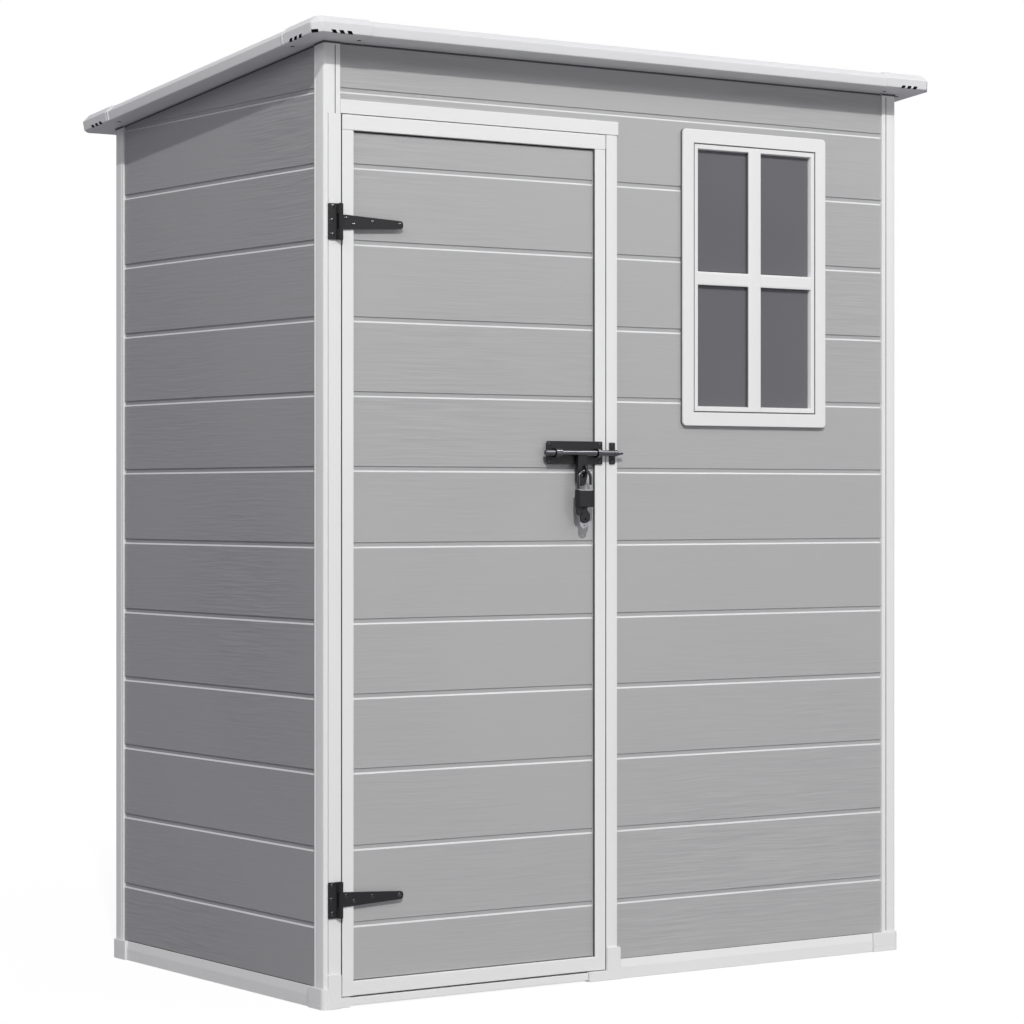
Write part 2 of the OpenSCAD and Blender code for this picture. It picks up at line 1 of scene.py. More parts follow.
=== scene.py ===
import math
import bpy
import bmesh
import numpy as np
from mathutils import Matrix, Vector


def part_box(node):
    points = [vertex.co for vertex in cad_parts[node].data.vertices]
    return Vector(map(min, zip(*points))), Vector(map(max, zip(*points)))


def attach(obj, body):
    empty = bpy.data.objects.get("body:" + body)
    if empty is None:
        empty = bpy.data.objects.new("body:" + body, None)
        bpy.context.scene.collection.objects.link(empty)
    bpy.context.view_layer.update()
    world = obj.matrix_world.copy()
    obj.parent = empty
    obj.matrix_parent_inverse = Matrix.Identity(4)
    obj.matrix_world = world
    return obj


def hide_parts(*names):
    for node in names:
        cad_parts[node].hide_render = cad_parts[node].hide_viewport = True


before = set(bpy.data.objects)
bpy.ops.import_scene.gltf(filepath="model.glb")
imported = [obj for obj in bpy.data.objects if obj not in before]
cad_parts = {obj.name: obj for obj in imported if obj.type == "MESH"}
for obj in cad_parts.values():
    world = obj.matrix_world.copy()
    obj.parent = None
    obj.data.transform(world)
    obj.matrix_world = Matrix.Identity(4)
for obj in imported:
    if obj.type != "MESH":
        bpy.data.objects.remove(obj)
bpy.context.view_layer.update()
scene = bpy.context.scene

# Shapes are worked out in mm from the shed's front left corner on the ground:
# X runs along the front, Y into the shed and Z up.
mm = 0.001
cornerPlace = np.array([*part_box("post_front_left")[0][:2], 0.0]) / mm


def boxOf(node):
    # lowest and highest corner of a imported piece, in mm from the front left corner
    return [np.array(point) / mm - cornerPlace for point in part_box(node)]


shed = {"width": 1520.0, "depth": 900.0, "frontHigh": 1948.0, "roofFall": 92.0, "seam": 0.2}
seam = shed["seam"]  # hairline between pieces that touch
roofPitch = math.atan2(shed["roofFall"], shed["depth"])


def roofUnder(y):
    # height of the roof's underside, less a hairline, at depth y
    return shed["frontHigh"] - shed["roofFall"] * y / shed["depth"] - seam


# Finishes


def srgb(hexCode):
    # sRGB hex to linear: value / 12.92 below 0.04045, else ((value + 0.055) / 1.055) ^ 2.4
    parts = [int(hexCode[i:i + 2], 16) / 255 for i in (1, 3, 5)]
    return [v / 12.92 if v <= 0.04045 else ((v + 0.055) / 1.055) ** 2.4 for v in parts] + [1.0]


def addNode(tree, kind, settings=None, links=None):
    # adds a node, gives it its settings and inputs, and links what feeds it
    node = tree.nodes.new("ShaderNode" + kind)
    for key, value in (settings or {}).items():
        if isinstance(key, str) and key in node.bl_rna.properties:
            setattr(node, key, value)
        else:
            node.inputs[key].default_value = value
    for key, source in (links or {}).items():
        tree.links.new(source, node.inputs[key])
    return node


def newMaterial(look):
    # a material with one Principled shader and its fixed values
    material = bpy.data.materials.new(look["name"])
    material.use_nodes = True
    shader = material.node_tree.nodes["Principled BSDF"]
    for key, value in {"Roughness": look["roughness"], **look["fixed"]}.items():
        shader.inputs[key].default_value = value
    return material, material.node_tree, shader


def joinShader(tree, shader, look, shade, height, cloud):
    # shade mixes the look's two colours, height ripples the surface and cloud varies the gloss
    colour = addNode(tree, "Mix", {"data_type": "RGBA", 6: srgb(look["light"]),
                                   7: srgb(look["dark"])}, {0: shade})
    tree.links.new(colour.outputs[2], shader.inputs["Base Color"])
    if "bump" in look:
        bump = addNode(tree, "Bump", {"Strength": look["bump"], "Distance": look["deep"] * mm}, {
            "Height": height})
        tree.links.new(bump.outputs[0], shader.inputs["Normal"])
    if "gloss" in look:
        gloss = addNode(tree, "MapRange", {"To Min": look["roughness"] - look["gloss"][0],
                                           "To Max": look["roughness"] + look["gloss"][1]}, {
            "Value": cloud})
        tree.links.new(gloss.outputs[0], shader.inputs["Roughness"])


# Sizes in a look are in mm: grain is its mottling's size and deep its ripple's depth.

# Moulded polypropylene with an embossed wood grain. The eye sees long, faint, wavy lines along
# the planks, deeper in some stretches than in others, under an even satin sheen. The lines are
# 4.4 mm apart. The mould's grit is under 0.1 mm, so it is drawn 1.6 mm coarse to show.
greyLook = {
    "name": "mouldedPolypropyleneGrey", "light": "#B4B4B3", "dark": "#A9A9A9", "roughness": 0.46,
    "fixed": {"IOR": 1.49}, "gloss": (0.05, 0.08), "bump": 0.8, "deep": 0.3,
    "grainLong": 130.0, "grainHigh": 4.4, "grainFrom": 0.28, "grainTo": 0.72,
    "wander": 14.0, "wanderLong": 260.0, "fine": 1.6, "fineShare": 0.07,
    "patch": 640.0, "patchFrom": 0.38, "patchTo": 0.66, "patchLeast": 0.3,
}
# The side walls are pressed with a deeper grain. Their colour is painted shade: a darker,
# slightly bluer copy of the grey, for walls turned away from the light.
shadedSideLook = {**greyLook, "name": "mouldedPolypropyleneDeepGrainShaded", "light": "#A4A4A5",
            "dark": "#969698", "deep": 0.5, "grainHigh": 5.2, "wander": 18.0}
# The same resin painted pale on the bevel along each plank's upper edge: a painted
# highlight where the bevel, which faces up, catches the light.
bevelHighlightLook = {**greyLook, "name": "mouldedPolypropylenePaintedHighlight", "light": "#D8D8D8",
               "dark": "#CECECE"}
# Moulded white polypropylene, spark-eroded to a fine satin. The eye sees clean, slightly cool
# white with a soft sheen that breaks up a little close to. Spark grit is under 0.1 mm, so it
# is drawn 1.4 mm coarse to show.
whiteLook = {
    "name": "mouldedPolypropyleneWhite", "light": "#ECECEA", "dark": "#E7E7E5",
    "roughness": 0.38, "fixed": {"IOR": 1.49}, "gloss": (0.04, 0.06), "bump": 0.12, "deep": 0.05,
    "grain": 260.0, "detail": 3.0, "grit": 1.4,
}
# The roof takes a greyer copy of the white resin: painted shade that dims its faces, which
# catch more of the light from above.
shadedRoofLook = {**whiteLook, "name": "mouldedPolypropyleneRoofShaded", "light": "#DCDCDC",
            "dark": "#D7D7D7"}
# Smoked polycarbonate sheet. The eye sees an even dark grey, with only a hint of the room
# behind it, and a clear surface gloss. Its tint drifts a little over 300 mm.
glazingLook = {
    "name": "smokedPolycarbonate", "light": "#757578", "dark": "#6C6C6F", "roughness": 0.09,
    "fixed": {"IOR": 1.585, "Alpha": 0.9}, "gloss": (0.03, 0.05), "grain": 300.0, "detail": 2.0,
}
# Steel with a black powder coat. The eye sees a charcoal satin with the soft, rounded ripple
# that powder leaves, 1.8 mm across.
coatLook = {
    "name": "powderCoatedSteelBlack", "light": "#1E1E20", "dark": "#151517", "roughness": 0.42,
    "fixed": {"IOR": 1.5}, "gloss": (0.06, 0.08), "bump": 0.25, "deep": 0.08, "grain": 1.8,
    "detail": 1.5,
}
# Drawn steel bar, blackened. The eye sees dark metal with fine lines left by drawing. They are
# under 0.1 mm wide, so they are drawn 1.2 mm wide to show.
blackenedLook = {
    "name": "drawnSteelBlackened", "light": "#77777B", "dark": "#5C5C60", "roughness": 0.18,
    "fixed": {"Metallic": 1.0}, "gloss": (0.05, 0.1), "bump": 0.15, "deep": 0.04, "grain": 1.2,
    "linesLong": 25.0, "detail": 2.0,
}
# The same steel under nickel plate, which the eye sees as silvery and a little softer.
nickelLook = {**blackenedLook, "name": "drawnSteelNickelPlated", "light": "#C4C4C6",
              "dark": "#ACACB0", "roughness": 0.34}
# Black ABS, tumbled to a satin. The eye sees a soft black without a metal's shine. Its marks
# are under 0.1 mm, so they are drawn 4 mm coarse to show.
absLook = {
    "name": "tumbledAbsBlack", "light": "#1D1D1F", "dark": "#161618", "roughness": 0.5,
    "fixed": {"IOR": 1.54}, "bump": 0.15, "deep": 0.05, "grain": 4.0, "detail": 2.0,
}
# Painted shade: a near black for the floors of slots, narrow grooves, the joints between
# skirts and walls and the caps' screw heads, where the eye sees only dark.
gapShadeLook = {**absLook, "name": "paintedGapShadeBlack", "light": "#0A0A0B", "dark": "#070708",
           "roughness": 0.9}
# Painted shade: thin, dull, dark grey strips in joints and gaps, under the eaves, round the
# window and along the door, standing in for the shade that falls there.
seamShadeLook = {**absLook, "name": "paintedSeamShadeGrey", "light": "#5A5A5C", "dark": "#505052",
              "roughness": 0.75}


def makeGrainedResin(look):
    # lines of noise stretched along the planks, fainter in some patches, over a fine grit
    material, tree, shader = newMaterial(look)
    place = addNode(tree, "TexCoord").outputs["Object"]
    drift = addNode(tree, "TexNoise", {"Scale": 1000 / look["wanderLong"], "Detail": 1.5}, {
        "Vector": place})
    split = addNode(tree, "SeparateXYZ", None, {"Vector": place})
    # height plus a slow wander, so that the lines rise and fall along a plank
    sway = addNode(tree, "Math", {"operation": "MULTIPLY_ADD", 1: look["wander"] * mm}, {
        0: drift.outputs["Fac"], 2: split.outputs["Z"]})
    swayed = addNode(tree, "CombineXYZ", None, {
        "X": split.outputs["X"], "Y": split.outputs["Y"], "Z": sway.outputs[0]})
    along = 1000 / look["grainLong"]
    stretched = addNode(tree, "Mapping", {"Scale": (along, along, 1000 / look["grainHigh"])}, {
        "Vector": swayed.outputs[0]})
    grain = addNode(tree, "TexNoise", {"Scale": 1.0, "Detail": 1.5, "Roughness": 0.5}, {
        "Vector": stretched.outputs[0]})
    lines = addNode(tree, "MapRange", {"From Min": look["grainFrom"], "From Max": look["grainTo"]},
                    {"Value": grain.outputs["Fac"]})
    patches = addNode(tree, "TexNoise", {"Scale": 1000 / look["patch"], "Detail": 1.0}, {
        "Vector": place})
    depth = addNode(tree, "MapRange", {"From Min": look["patchFrom"], "From Max": look["patchTo"],
                                       "To Min": look["patchLeast"]}, {
        "Value": patches.outputs["Fac"]})
    height = addNode(tree, "Math", {"operation": "MULTIPLY"}, {
        0: lines.outputs[0], 1: depth.outputs[0]})
    fine = addNode(tree, "TexNoise", {"Scale": 1000 / look["fine"], "Detail": 1.0}, {
        "Vector": place})
    total = addNode(tree, "Math", {"operation": "MULTIPLY_ADD", 1: look["fineShare"]}, {
        0: fine.outputs["Fac"], 2: height.outputs[0]})
    # painted shade: the grain's hollows are painted a shade darker, for the shade that falls in them
    paintedHollowShade = addNode(tree, "Math", {"operation": "SUBTRACT", 0: 1.0}, {1: height.outputs[0]})
    shade = addNode(tree, "Math", {"operation": "MULTIPLY"}, {
        0: paintedHollowShade.outputs[0], 1: depth.outputs[0]})
    joinShader(tree, shader, look, shade.outputs[0], total.outputs[0], patches.outputs["Fac"])
    return material


def makeFinish(look):
    # One noise of the look's grain gives shade, ripple and gloss. Lines left by drawing stretch
    # it along X, and a finer grit may ripple the surface in its place.
    material, tree, shader = newMaterial(look)
    place = addNode(tree, "TexCoord").outputs["Object"]
    if "linesLong" in look:
        stretch = (look["grain"] / look["linesLong"], 1, 1)
        place = addNode(tree, "Mapping", {"Scale": stretch}, {"Vector": place}).outputs[0]
    grain = addNode(tree, "TexNoise", {"Scale": 1000 / look["grain"], "Detail": look["detail"]}, {
        "Vector": place}).outputs["Fac"]
    ripple = grain
    if "grit" in look:
        ripple = addNode(tree, "TexNoise", {"Scale": 1000 / look["grit"], "Detail": 2.0}, {
            "Vector": place}).outputs["Fac"]
    joinShader(tree, shader, look, grain, ripple, grain)
    return material


greyResin = makeGrainedResin(greyLook)
shadedSideResin = makeGrainedResin(shadedSideLook)
bevelHighlightResin = makeGrainedResin(bevelHighlightLook)
whiteResin = makeFinish(whiteLook)
shadedRoofResin = makeFinish(shadedRoofLook)
smokedGlazing = makeFinish(glazingLook)
blackSteel = makeFinish(coatLook)
blackenedSteel = makeFinish(blackenedLook)
nickelSteel = makeFinish(nickelLook)
blackAbs = makeFinish(absLook)
paintedGapShade = makeFinish(gapShadeLook)
paintedSeamShade = makeFinish(seamShadeLook)
print("finishes ready")


# Shapes
# Each shape function gives (points, blocks of faces). A part is a shape with its finish.


def rounded(corners, radii, closed=True, steps=4):
    # Each corner becomes an arc. Its centre lies on the corner's bisector, radius / sin(half angle)
    # from the corner, and the arc's points are sin-weighted mixes of its two touching points.
    corners = np.asarray(corners, float)
    here = corners if closed else corners[1:-1]
    back = np.roll(corners, 1, 0) if closed else corners[:-2]
    ahead = np.roll(corners, -1, 0) if closed else corners[2:]
    radii = np.broadcast_to(np.asarray(radii, float), len(here)).reshape(-1, 1)
    back = (back - here) / np.linalg.norm(back - here, axis=1, keepdims=True)
    ahead = (ahead - here) / np.linalg.norm(ahead - here, axis=1, keepdims=True)
    half = np.arccos(np.clip((back * ahead).sum(1, keepdims=True), -1, 1)) / 2
    middle = (back + ahead) / np.linalg.norm(back + ahead, axis=1, keepdims=True)
    centre = here + middle * radii / np.sin(half)
    first = here + back * radii / np.tan(half) - centre
    last = here + ahead * radii / np.tan(half) - centre
    turn = math.pi - 2 * half
    share = np.linspace(0, 1, steps)
    near = np.sin((1 - share) * turn) / np.sin(turn)
    far = np.sin(share * turn) / np.sin(turn)
    arcs = centre[:, None] + first[:, None] * near[..., None] + last[:, None] * far[..., None]
    arcs = arcs.reshape(-1, corners.shape[1])
    return arcs if closed else np.vstack([corners[:1], arcs, corners[-1:]])


def drawnIn(outline, amounts):
    # Each point moves inwards square to the outline, by the amount / cos(half the bend there),
    # so that straight sides stay parallel. Gives one outline for each amount.
    ahead = np.roll(outline, -1, 0) - outline
    ahead /= np.linalg.norm(ahead, axis=1, keepdims=True)
    along = ahead + np.roll(ahead, 1, 0)
    inward = np.stack([-along[:, 1], along[:, 0]], 1) * 2 / (along ** 2).sum(1, keepdims=True)
    x, y = outline.T
    if (x * np.roll(y, -1) - y * np.roll(x, -1)).sum() < 0:
        inward = -inward
    return outline + np.reshape(amounts, (-1, 1, 1)) * inward


def stood(axis, flat, level):
    # sets outline points upright: the level runs along the axis, the outline on the other two
    level = np.broadcast_to(level, flat.shape[:-1])
    u, v = flat[..., 0], flat[..., 1]
    order = {"x": (level, u, v), "y": (u, level, v), "z": (u, v, level)}[axis]
    return np.stack(order, -1)


def loft(rings, capped=True, closed=False):
    # Point j of ring i joins points j and j + 1 of ring i + 1 as a quad. A flat face closes
    # each end, or the last ring joins the first.
    rows, size = rings.shape[:2]
    i, j = np.meshgrid(np.arange(rows if closed else rows - 1), np.arange(size), indexing="ij")
    k = (j + 1) % size
    h = (i + 1) % rows
    quads = np.stack([i * size + j, i * size + k, h * size + k, h * size + j], -1).reshape(-1, 4)
    ends = [np.arange(size)[None, ::-1], (rows - 1) * size + np.arange(size)[None]]
    return rings.reshape(-1, 3), [quads] + (ends if capped and not closed else [])


def prism(outline, start, end, axis, edge=0.8, steps=3):
    # The outline carried along an axis, its ends rounded: at angle t the outline is drawn in by
    # edge * (1 - sin t) and stands edge * (1 - cos t) inside the end.
    angle = np.linspace(0, math.pi / 2, steps)
    inset = edge * (1 - np.sin(angle))
    move = edge * (1 - np.cos(angle))
    flat = drawnIn(np.asarray(outline, float), np.concatenate([inset, inset[::-1]]))
    level = np.concatenate([start + move, end - move[::-1]])
    return loft(stood(axis, flat, level[:, None]))


def slab(low, high, axis, corner=1.0, edge=0.8):
    # a box with rounded corners along its axis and rounded ends
    first, second = {"x": (1, 2), "y": (0, 2), "z": (0, 1)}[axis]
    along = "xyz".index(axis)
    a, b, c, d = low[first], high[first], low[second], high[second]
    outline = rounded([(a, c), (b, c), (b, d), (a, d)], corner)
    return prism(outline, low[along], high[along], axis, edge)


def turned(profile, centre, axis, sides=32):
    # a profile of (radius, distance along the axis) spun round the axis through the centre
    profile = np.asarray(profile, float)
    angle = np.linspace(0, 2 * math.pi, sides, endpoint=False)
    flat = profile[:, :1, None] * np.stack([np.cos(angle), np.sin(angle)])[None]
    rings = stood(axis, flat.transpose(0, 2, 1), profile[:, 1:])
    return loft(rings + np.asarray(centre, float))


def roundRod(radius, start, end, centre, axis, edge=0.8, sides=32):
    # a rod whose end edges follow a quarter circle
    t = np.linspace(0, math.pi / 2, 4)
    r = radius - edge * (1 - np.sin(t))
    move = edge * (1 - np.cos(t))
    profile = np.stack([np.concatenate([r, r[::-1]]),
                        np.concatenate([start + move, end - move[::-1]])], 1)
    return turned(profile, centre, axis, sides)


def bentRod(path, square, radius, sides=20):
    # A round section carried along a path in one plane: each ring lies between the plane's
    # normal and the path's own normal. Its ends are drawn in to a small rounding.
    path = np.asarray(path, float)
    along = np.gradient(path, axis=0)
    along /= np.linalg.norm(along, axis=1, keepdims=True)
    square = np.asarray(square, float)
    across = np.cross(along, square)
    angle = np.linspace(0, 2 * math.pi, sides, endpoint=False)
    size = np.full(len(path), radius)
    size[[0, -1]] = radius * 0.8
    rings = path[:, None] + size[:, None, None] * (
        across[:, None] * np.cos(angle)[:, None] + square * np.sin(angle)[:, None])
    return loft(rings)


def gridSlab(front, back, keep, marked):
    # front and back are grids of points, and keep says which cells are solid. A solid cell has
    # a face on both sides, and a wall stands where solid meets empty or the grid ends. The front
    # faces in the marked rows make a shape of their own.
    rows, cols = front.shape[:2]
    number = np.arange(rows * cols).reshape(rows, cols)
    behind = rows * cols
    r, c = np.nonzero(keep)
    faces = np.stack([number[r, c], number[r, c + 1], number[r + 1, c + 1], number[r + 1, c]], 1)
    rim = np.pad(keep, 1)
    r, c = np.nonzero(rim[1:, 1:-1] != rim[:-1, 1:-1])
    level = np.stack([number[r, c], number[r, c + 1]], 1)
    r, c = np.nonzero(rim[1:-1, 1:] != rim[1:-1, :-1])
    upright = np.stack([number[r, c], number[r + 1, c]], 1)
    edges = np.vstack([level, upright])
    walls = np.hstack([edges, edges[:, ::-1] + behind])
    points = np.vstack([front.reshape(-1, 3), back.reshape(-1, 3)])
    chosen = marked[np.nonzero(keep)[0]]
    plain = [faces[~chosen], faces[:, ::-1] + behind, walls]
    return (points, plain), (points, [faces[chosen]])


def holed(outline, hole, start, end, axis, edge=0.6):
    # A plate with one hole: rings run round the outline, in to the hole and back through it.
    # hole is (centre u, centre v, half width, half height), an ellipse.
    outline = np.asarray(outline, float)
    middle = np.array(hole[:2])
    bearing = np.arctan2(*(outline - middle).T[::-1])
    ring = middle + np.stack([np.cos(bearing) * hole[2], np.sin(bearing) * hole[3]], 1)
    angle = np.linspace(0, math.pi / 2, 3)
    inset = edge * (1 - np.sin(angle))
    move = edge * (1 - np.cos(angle))
    outer = stood(axis, drawnIn(outline, np.concatenate([inset, inset[::-1]])),
                  np.concatenate([start + move, end - move[::-1]])[:, None])
    inner = stood(axis, np.stack([ring, ring]), np.array([end, start])[:, None])
    return loft(np.concatenate([outer, inner]), closed=True)


def dense(outline, gap):
    # adds points along an outline's long sides, at most one gap apart, by arc length
    step = np.linalg.norm(np.roll(outline, -1, 0) - outline, axis=1)
    at = np.concatenate([[0], np.cumsum(step)])
    every = np.union1d(at[:-1], np.arange(0, at[-1], gap))
    looped = np.vstack([outline, outline[:1]])
    return np.stack([np.interp(every, at, looped[:, 0]), np.interp(every, at, looped[:, 1])], 1)


def screwHead(centre, axis, out, radius=4.0, high=1.6):
    # A domed head: height = high * (0.3 + 0.7 * (1 - (r / radius) ^ 2)) inside its rim, with a
    # four-armed recess whose edge is at radius * (0.24 + 0.34 * cos(2 a) ^ 8) for bearing a.
    angle = np.linspace(0, 2 * math.pi, 32, endpoint=False)
    arms = radius * (0.24 + 0.34 * np.cos(2 * angle) ** 8)
    plain = np.array([1.0, 1.0, 0.92, 0.8])[:, None] * radius + 0 * angle
    rings = np.vstack([plain, arms[None], 0.8 * arms[None], 0.05 * arms[None]])
    height = high * (1 - (rings / radius) ** 2) * 0.7 + 0.3 * high
    height[0] = -0.6
    height[1] = 0.12 * high
    height[5:] = 0.15 * high
    flat = rings[..., None] * np.stack([np.cos(angle), np.sin(angle)], 1)
    return loft(stood(axis, flat, height * out) + np.asarray(centre, float))


def makePiece(name, parts, body, nodes=(), crease=35):
    # Joins parts (shape, finish) into one mesh in metres, merges doubled points, turns every
    # closed shell outwards and rides it on its body in place of its CAD nodes.
    points, faces, numbers, finishes, start = [], [], [], [], 0
    for (shapePoints, blocks), finish in parts:
        if finish not in finishes:
            finishes.append(finish)
        for block in blocks:
            faces += (block + start).tolist()
            numbers += [finishes.index(finish)] * len(block)
        points.append(shapePoints)
        start += len(shapePoints)
    mesh = bpy.data.meshes.new(name)
    mesh.from_pydata(((np.vstack(points) + cornerPlace) * mm).tolist(), [], faces)
    mesh.polygons.foreach_set("material_index", numbers)
    for finish in finishes:
        mesh.materials.append(finish)
    shape = bmesh.new()
    shape.from_mesh(mesh)
    bmesh.ops.remove_doubles(shape, verts=shape.verts, dist=0.004 * mm)
    bmesh.ops.dissolve_degenerate(shape, edges=shape.edges, dist=0.002 * mm)
    loose = [vert for vert in shape.verts if not vert.link_faces]
    bmesh.ops.delete(shape, geom=loose, context="VERTS")
    bmesh.ops.recalc_face_normals(shape, faces=shape.faces)
    shape.to_mesh(mesh)
    shape.free()
    mesh.polygons.foreach_set("use_smooth", np.ones(len(mesh.polygons), bool))
    mesh.set_sharp_from_angle(angle=math.radians(crease))
    piece = bpy.data.objects.new(name, mesh)
    scene.collection.objects.link(piece)
    # large flat faces set the shading, and the small faces of soft edges follow them
    piece.modifiers.new("flatFaces", "WEIGHTED_NORMAL").keep_sharp = True
    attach(piece, body)
    if nodes:
        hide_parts(*nodes)
    return piece


def dressNode(node, finish):
    # gives a CAD node that stays in view its finish
    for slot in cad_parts[node].material_slots:
        slot.material = finish


def mirrored(shape, axis, size):
    # a shape turned to the other side of the shed
    points, blocks = shape
    points = points.copy()
    points[:, axis] = size - points[:, axis]
    return points, blocks


# each corner's label, its nodes' ending, and whether it is at the right and at the back
corners = (("FrontLeft", "front_left", False, False), ("FrontRight", "front_right", True, False),
           ("BackLeft", "back_left", False, True), ("BackRight", "back_right", True, True))


def atCorner(shapes, right, back):
    # turns shapes drawn for the front left corner to the right and to the back
    shapes = [mirrored(shape, 0, shed["width"]) if right else shape for shape in shapes]
    return [mirrored(shape, 1, shed["depth"]) if back else shape for shape in shapes]


# Walls

planks = {
    "firstJoint": 162.0, "tall": 154.7, "short": 151.5, "grooveHigh": 9.6, "grooveDeep": 2.2,
    "bevelFrom": -2.5, "bevelTo": 0.7, "round": 0.5, "eaveLine": 4.0, "behindRail": 3.0,
}


def plankRows(low, high):
    # Heights and depths up a planked face: at each joint a bevel down into the groove, the
    # groove's floor, and a lip back out, with every bend rounded.
    pitches = np.tile([planks["tall"]] * 2 + [planks["short"]] * 2, 4)
    joints = planks["firstJoint"] + np.concatenate([[0], np.cumsum(pitches)])
    tall, deep = planks["grooveHigh"], planks["grooveDeep"]
    joints = joints[(joints > low + tall) & (joints < high - 2 * tall)]
    shape = np.array([[planks["bevelFrom"], 0], [planks["bevelTo"], deep], [tall - 0.8, deep],
                      [tall, 0]])
    steps = (joints[:, None, None] * [1, 0] + shape).reshape(-1, 2)
    return rounded(np.vstack([[[low, 0]], steps, [[high, 0]]]), planks["round"], closed=False)


def plankedPanel(ends, low, high, place, thick, top=None, hole=None):
    # A planked slab. place(u, depth, z) says where a point of the slab stands in the shed, and
    # top(point) where its sloping upper edge is. hole is (u from, u to, z from, z to).
    rows = plankRows(low, high)
    across = np.array(ends, float)
    if hole:
        across = np.sort(np.concatenate([across, hole[:2]]))
        levels = np.union1d(rows[:, 0], hole[2:])
        rows = np.stack([levels, np.interp(levels, rows[:, 0], rows[:, 1])], 1)
    u, z = np.meshgrid(across, rows[:, 0])
    depth = np.broadcast_to(rows[:, 1:], u.shape)
    front = place(u, depth, z)
    back = place(u, thick + 0 * depth, z)
    if top:
        front[-1, :, 2] = top(front[-1])
        back[-1, :, 2] = top(back[-1])
    keep = np.ones((len(rows) - 1, len(across) - 1), bool)
    if hole:
        midU = (across[:-1] + across[1:]) / 2
        midZ = (rows[:-1, 0] + rows[1:, 0]) / 2
        inU = (midU > hole[0]) & (midU < hole[1])
        inZ = (midZ > hole[2]) & (midZ < hole[3])
        keep &= ~(inZ[:, None] & inU[None])
    # the bevel rows, which face up, are kept apart to take the painted highlight
    return gridSlab(front, back, keep, np.diff(rows[:, 1]) > 0.01)


def facing(side, face):
    # how a panel whose outer face is at a given place stands on that side of the shed
    return {
        "front": lambda u, depth, z: np.stack([u, face + depth, z], -1),
        "back": lambda u, depth, z: np.stack([u, face - depth, z], -1),
        "left": lambda u, depth, z: np.stack([face + depth, u, z], -1),
        "right": lambda u, depth, z: np.stack([face - depth, u, z], -1),
    }[side]


def underRoof(points):
    # the roof's underside over each point
    return roofUnder(points[..., 1])


def makeWall(name, node, side, hole=None, body="shed", top=underRoof):
    # a planked panel that fills its CAD node's box
    low, high = boxOf(node)
    along = 1 if side in ("left", "right") else 0
    square = 1 - along
    face = low[square] if side in ("front", "left") else high[square]
    thick = high[square] - low[square]
    # the wall over the door meets the one beside it, and the door's panel goes behind its frame
    past = planks["behindRail"] if node == "door_panel" else 0.0
    beside = seam if node == "wall_over_door" else past
    panel, edges = plankedPanel((low[along], high[along] + beside), low[2] - past,
                                high[2] + past / 2, facing(side, face), thick, top, hole)
    # the side walls take the painted-shade copy of the grey, and the bevels the painted highlight
    resin = shadedSideResin if along else greyResin
    parts = [(panel, resin), (edges, bevelHighlightResin)]
    if top is underRoof:
        # painted shade: a dark strip stands in for the shade in the gap under the roof
        points, faces = slab((low[along], -0.3, -planks["eaveLine"]), (high[along], 0.5, -0.1), "x",
                             0.1, 0.05)
        line = facing(side, face)(*points.T)
        line[:, 2] += roofUnder(line[:, 1])
        parts.append(((line, faces), paintedSeamShade))
    makePiece(name, parts, body, [node])


windowSizes = {
    "flange": 31.0, "bead": 12.0, "proud": 9.0, "round": 9.0, "mullion": 34.0, "transom": 28.8,
    "transomUp": 321.7, "edgeRound": 1.5, "shadeLineOut": 0.25, "shadeLineDeep": 4.6,
    "grooveDeep": 3.0, "glassDeep": 8.0, "mullionLeft": 1.1, "mullionFace": 0.7,
    "transomFace": 1.3, "crownWide": 4.0, "crownHigh": 0.6,
}
windowLow, windowHigh = boxOf("window_frame")
inset = windowSizes["flange"] - windowSizes["bead"]
windowHole = (windowLow[0] + inset, windowHigh[0] - inset, windowLow[2] + inset,
              windowHigh[2] - inset)

makeWall("frontWall", "front_wall", "front", windowHole)
makeWall("wallOverDoor", "wall_over_door", "front")
makeWall("backWall", "back_wall", "back")
makeWall("leftWall", "left_wall", "left")
makeWall("rightWall", "right_wall", "right")
makeWall("doorPanel", "door_panel", "front", body="door", top=None)
dressNode("floor", greyResin)
print("walls ready")


# Window


def framed(low, high, inward, depth):
    # A section of (inset from the outer edge, depth) carried round a rectangle whose corners are
    # arcs: at inset d their radius is max(round - d, 0).
    size = windowSizes["round"]
    turn = np.linspace(0, math.pi / 2, 6)
    bearing = (np.arange(4)[:, None] * math.pi / 2 + turn).ravel()
    signs = np.repeat([[1, 1], [-1, 1], [-1, -1], [1, -1]], 6, axis=0)
    middle = (low + high)[[0, 2]] / 2
    half = (high - low)[[0, 2]] / 2
    reach = np.maximum(inward, size)[:, None, None]
    arc = np.maximum(size - inward, 0)[:, None, None]
    flat = middle + signs * (half - reach) + arc * np.stack([np.cos(bearing), np.sin(bearing)], 1)
    return loft(stood("y", flat, depth[:, None]), closed=True)


def barSection(centre, half, face, back):
    # section of a glazing bar: sides back to the glass, and a crowned face
    wide, high = windowSizes["crownWide"], windowSizes["crownHigh"]
    return rounded([(centre - half, back), (centre - half, face + high),
                    (centre - half + wide, face), (centre + half - wide, face),
                    (centre + half, face + high), (centre + half, back)],
                   [0.4, 0.9, 2.0, 2.0, 0.9, 0.4])


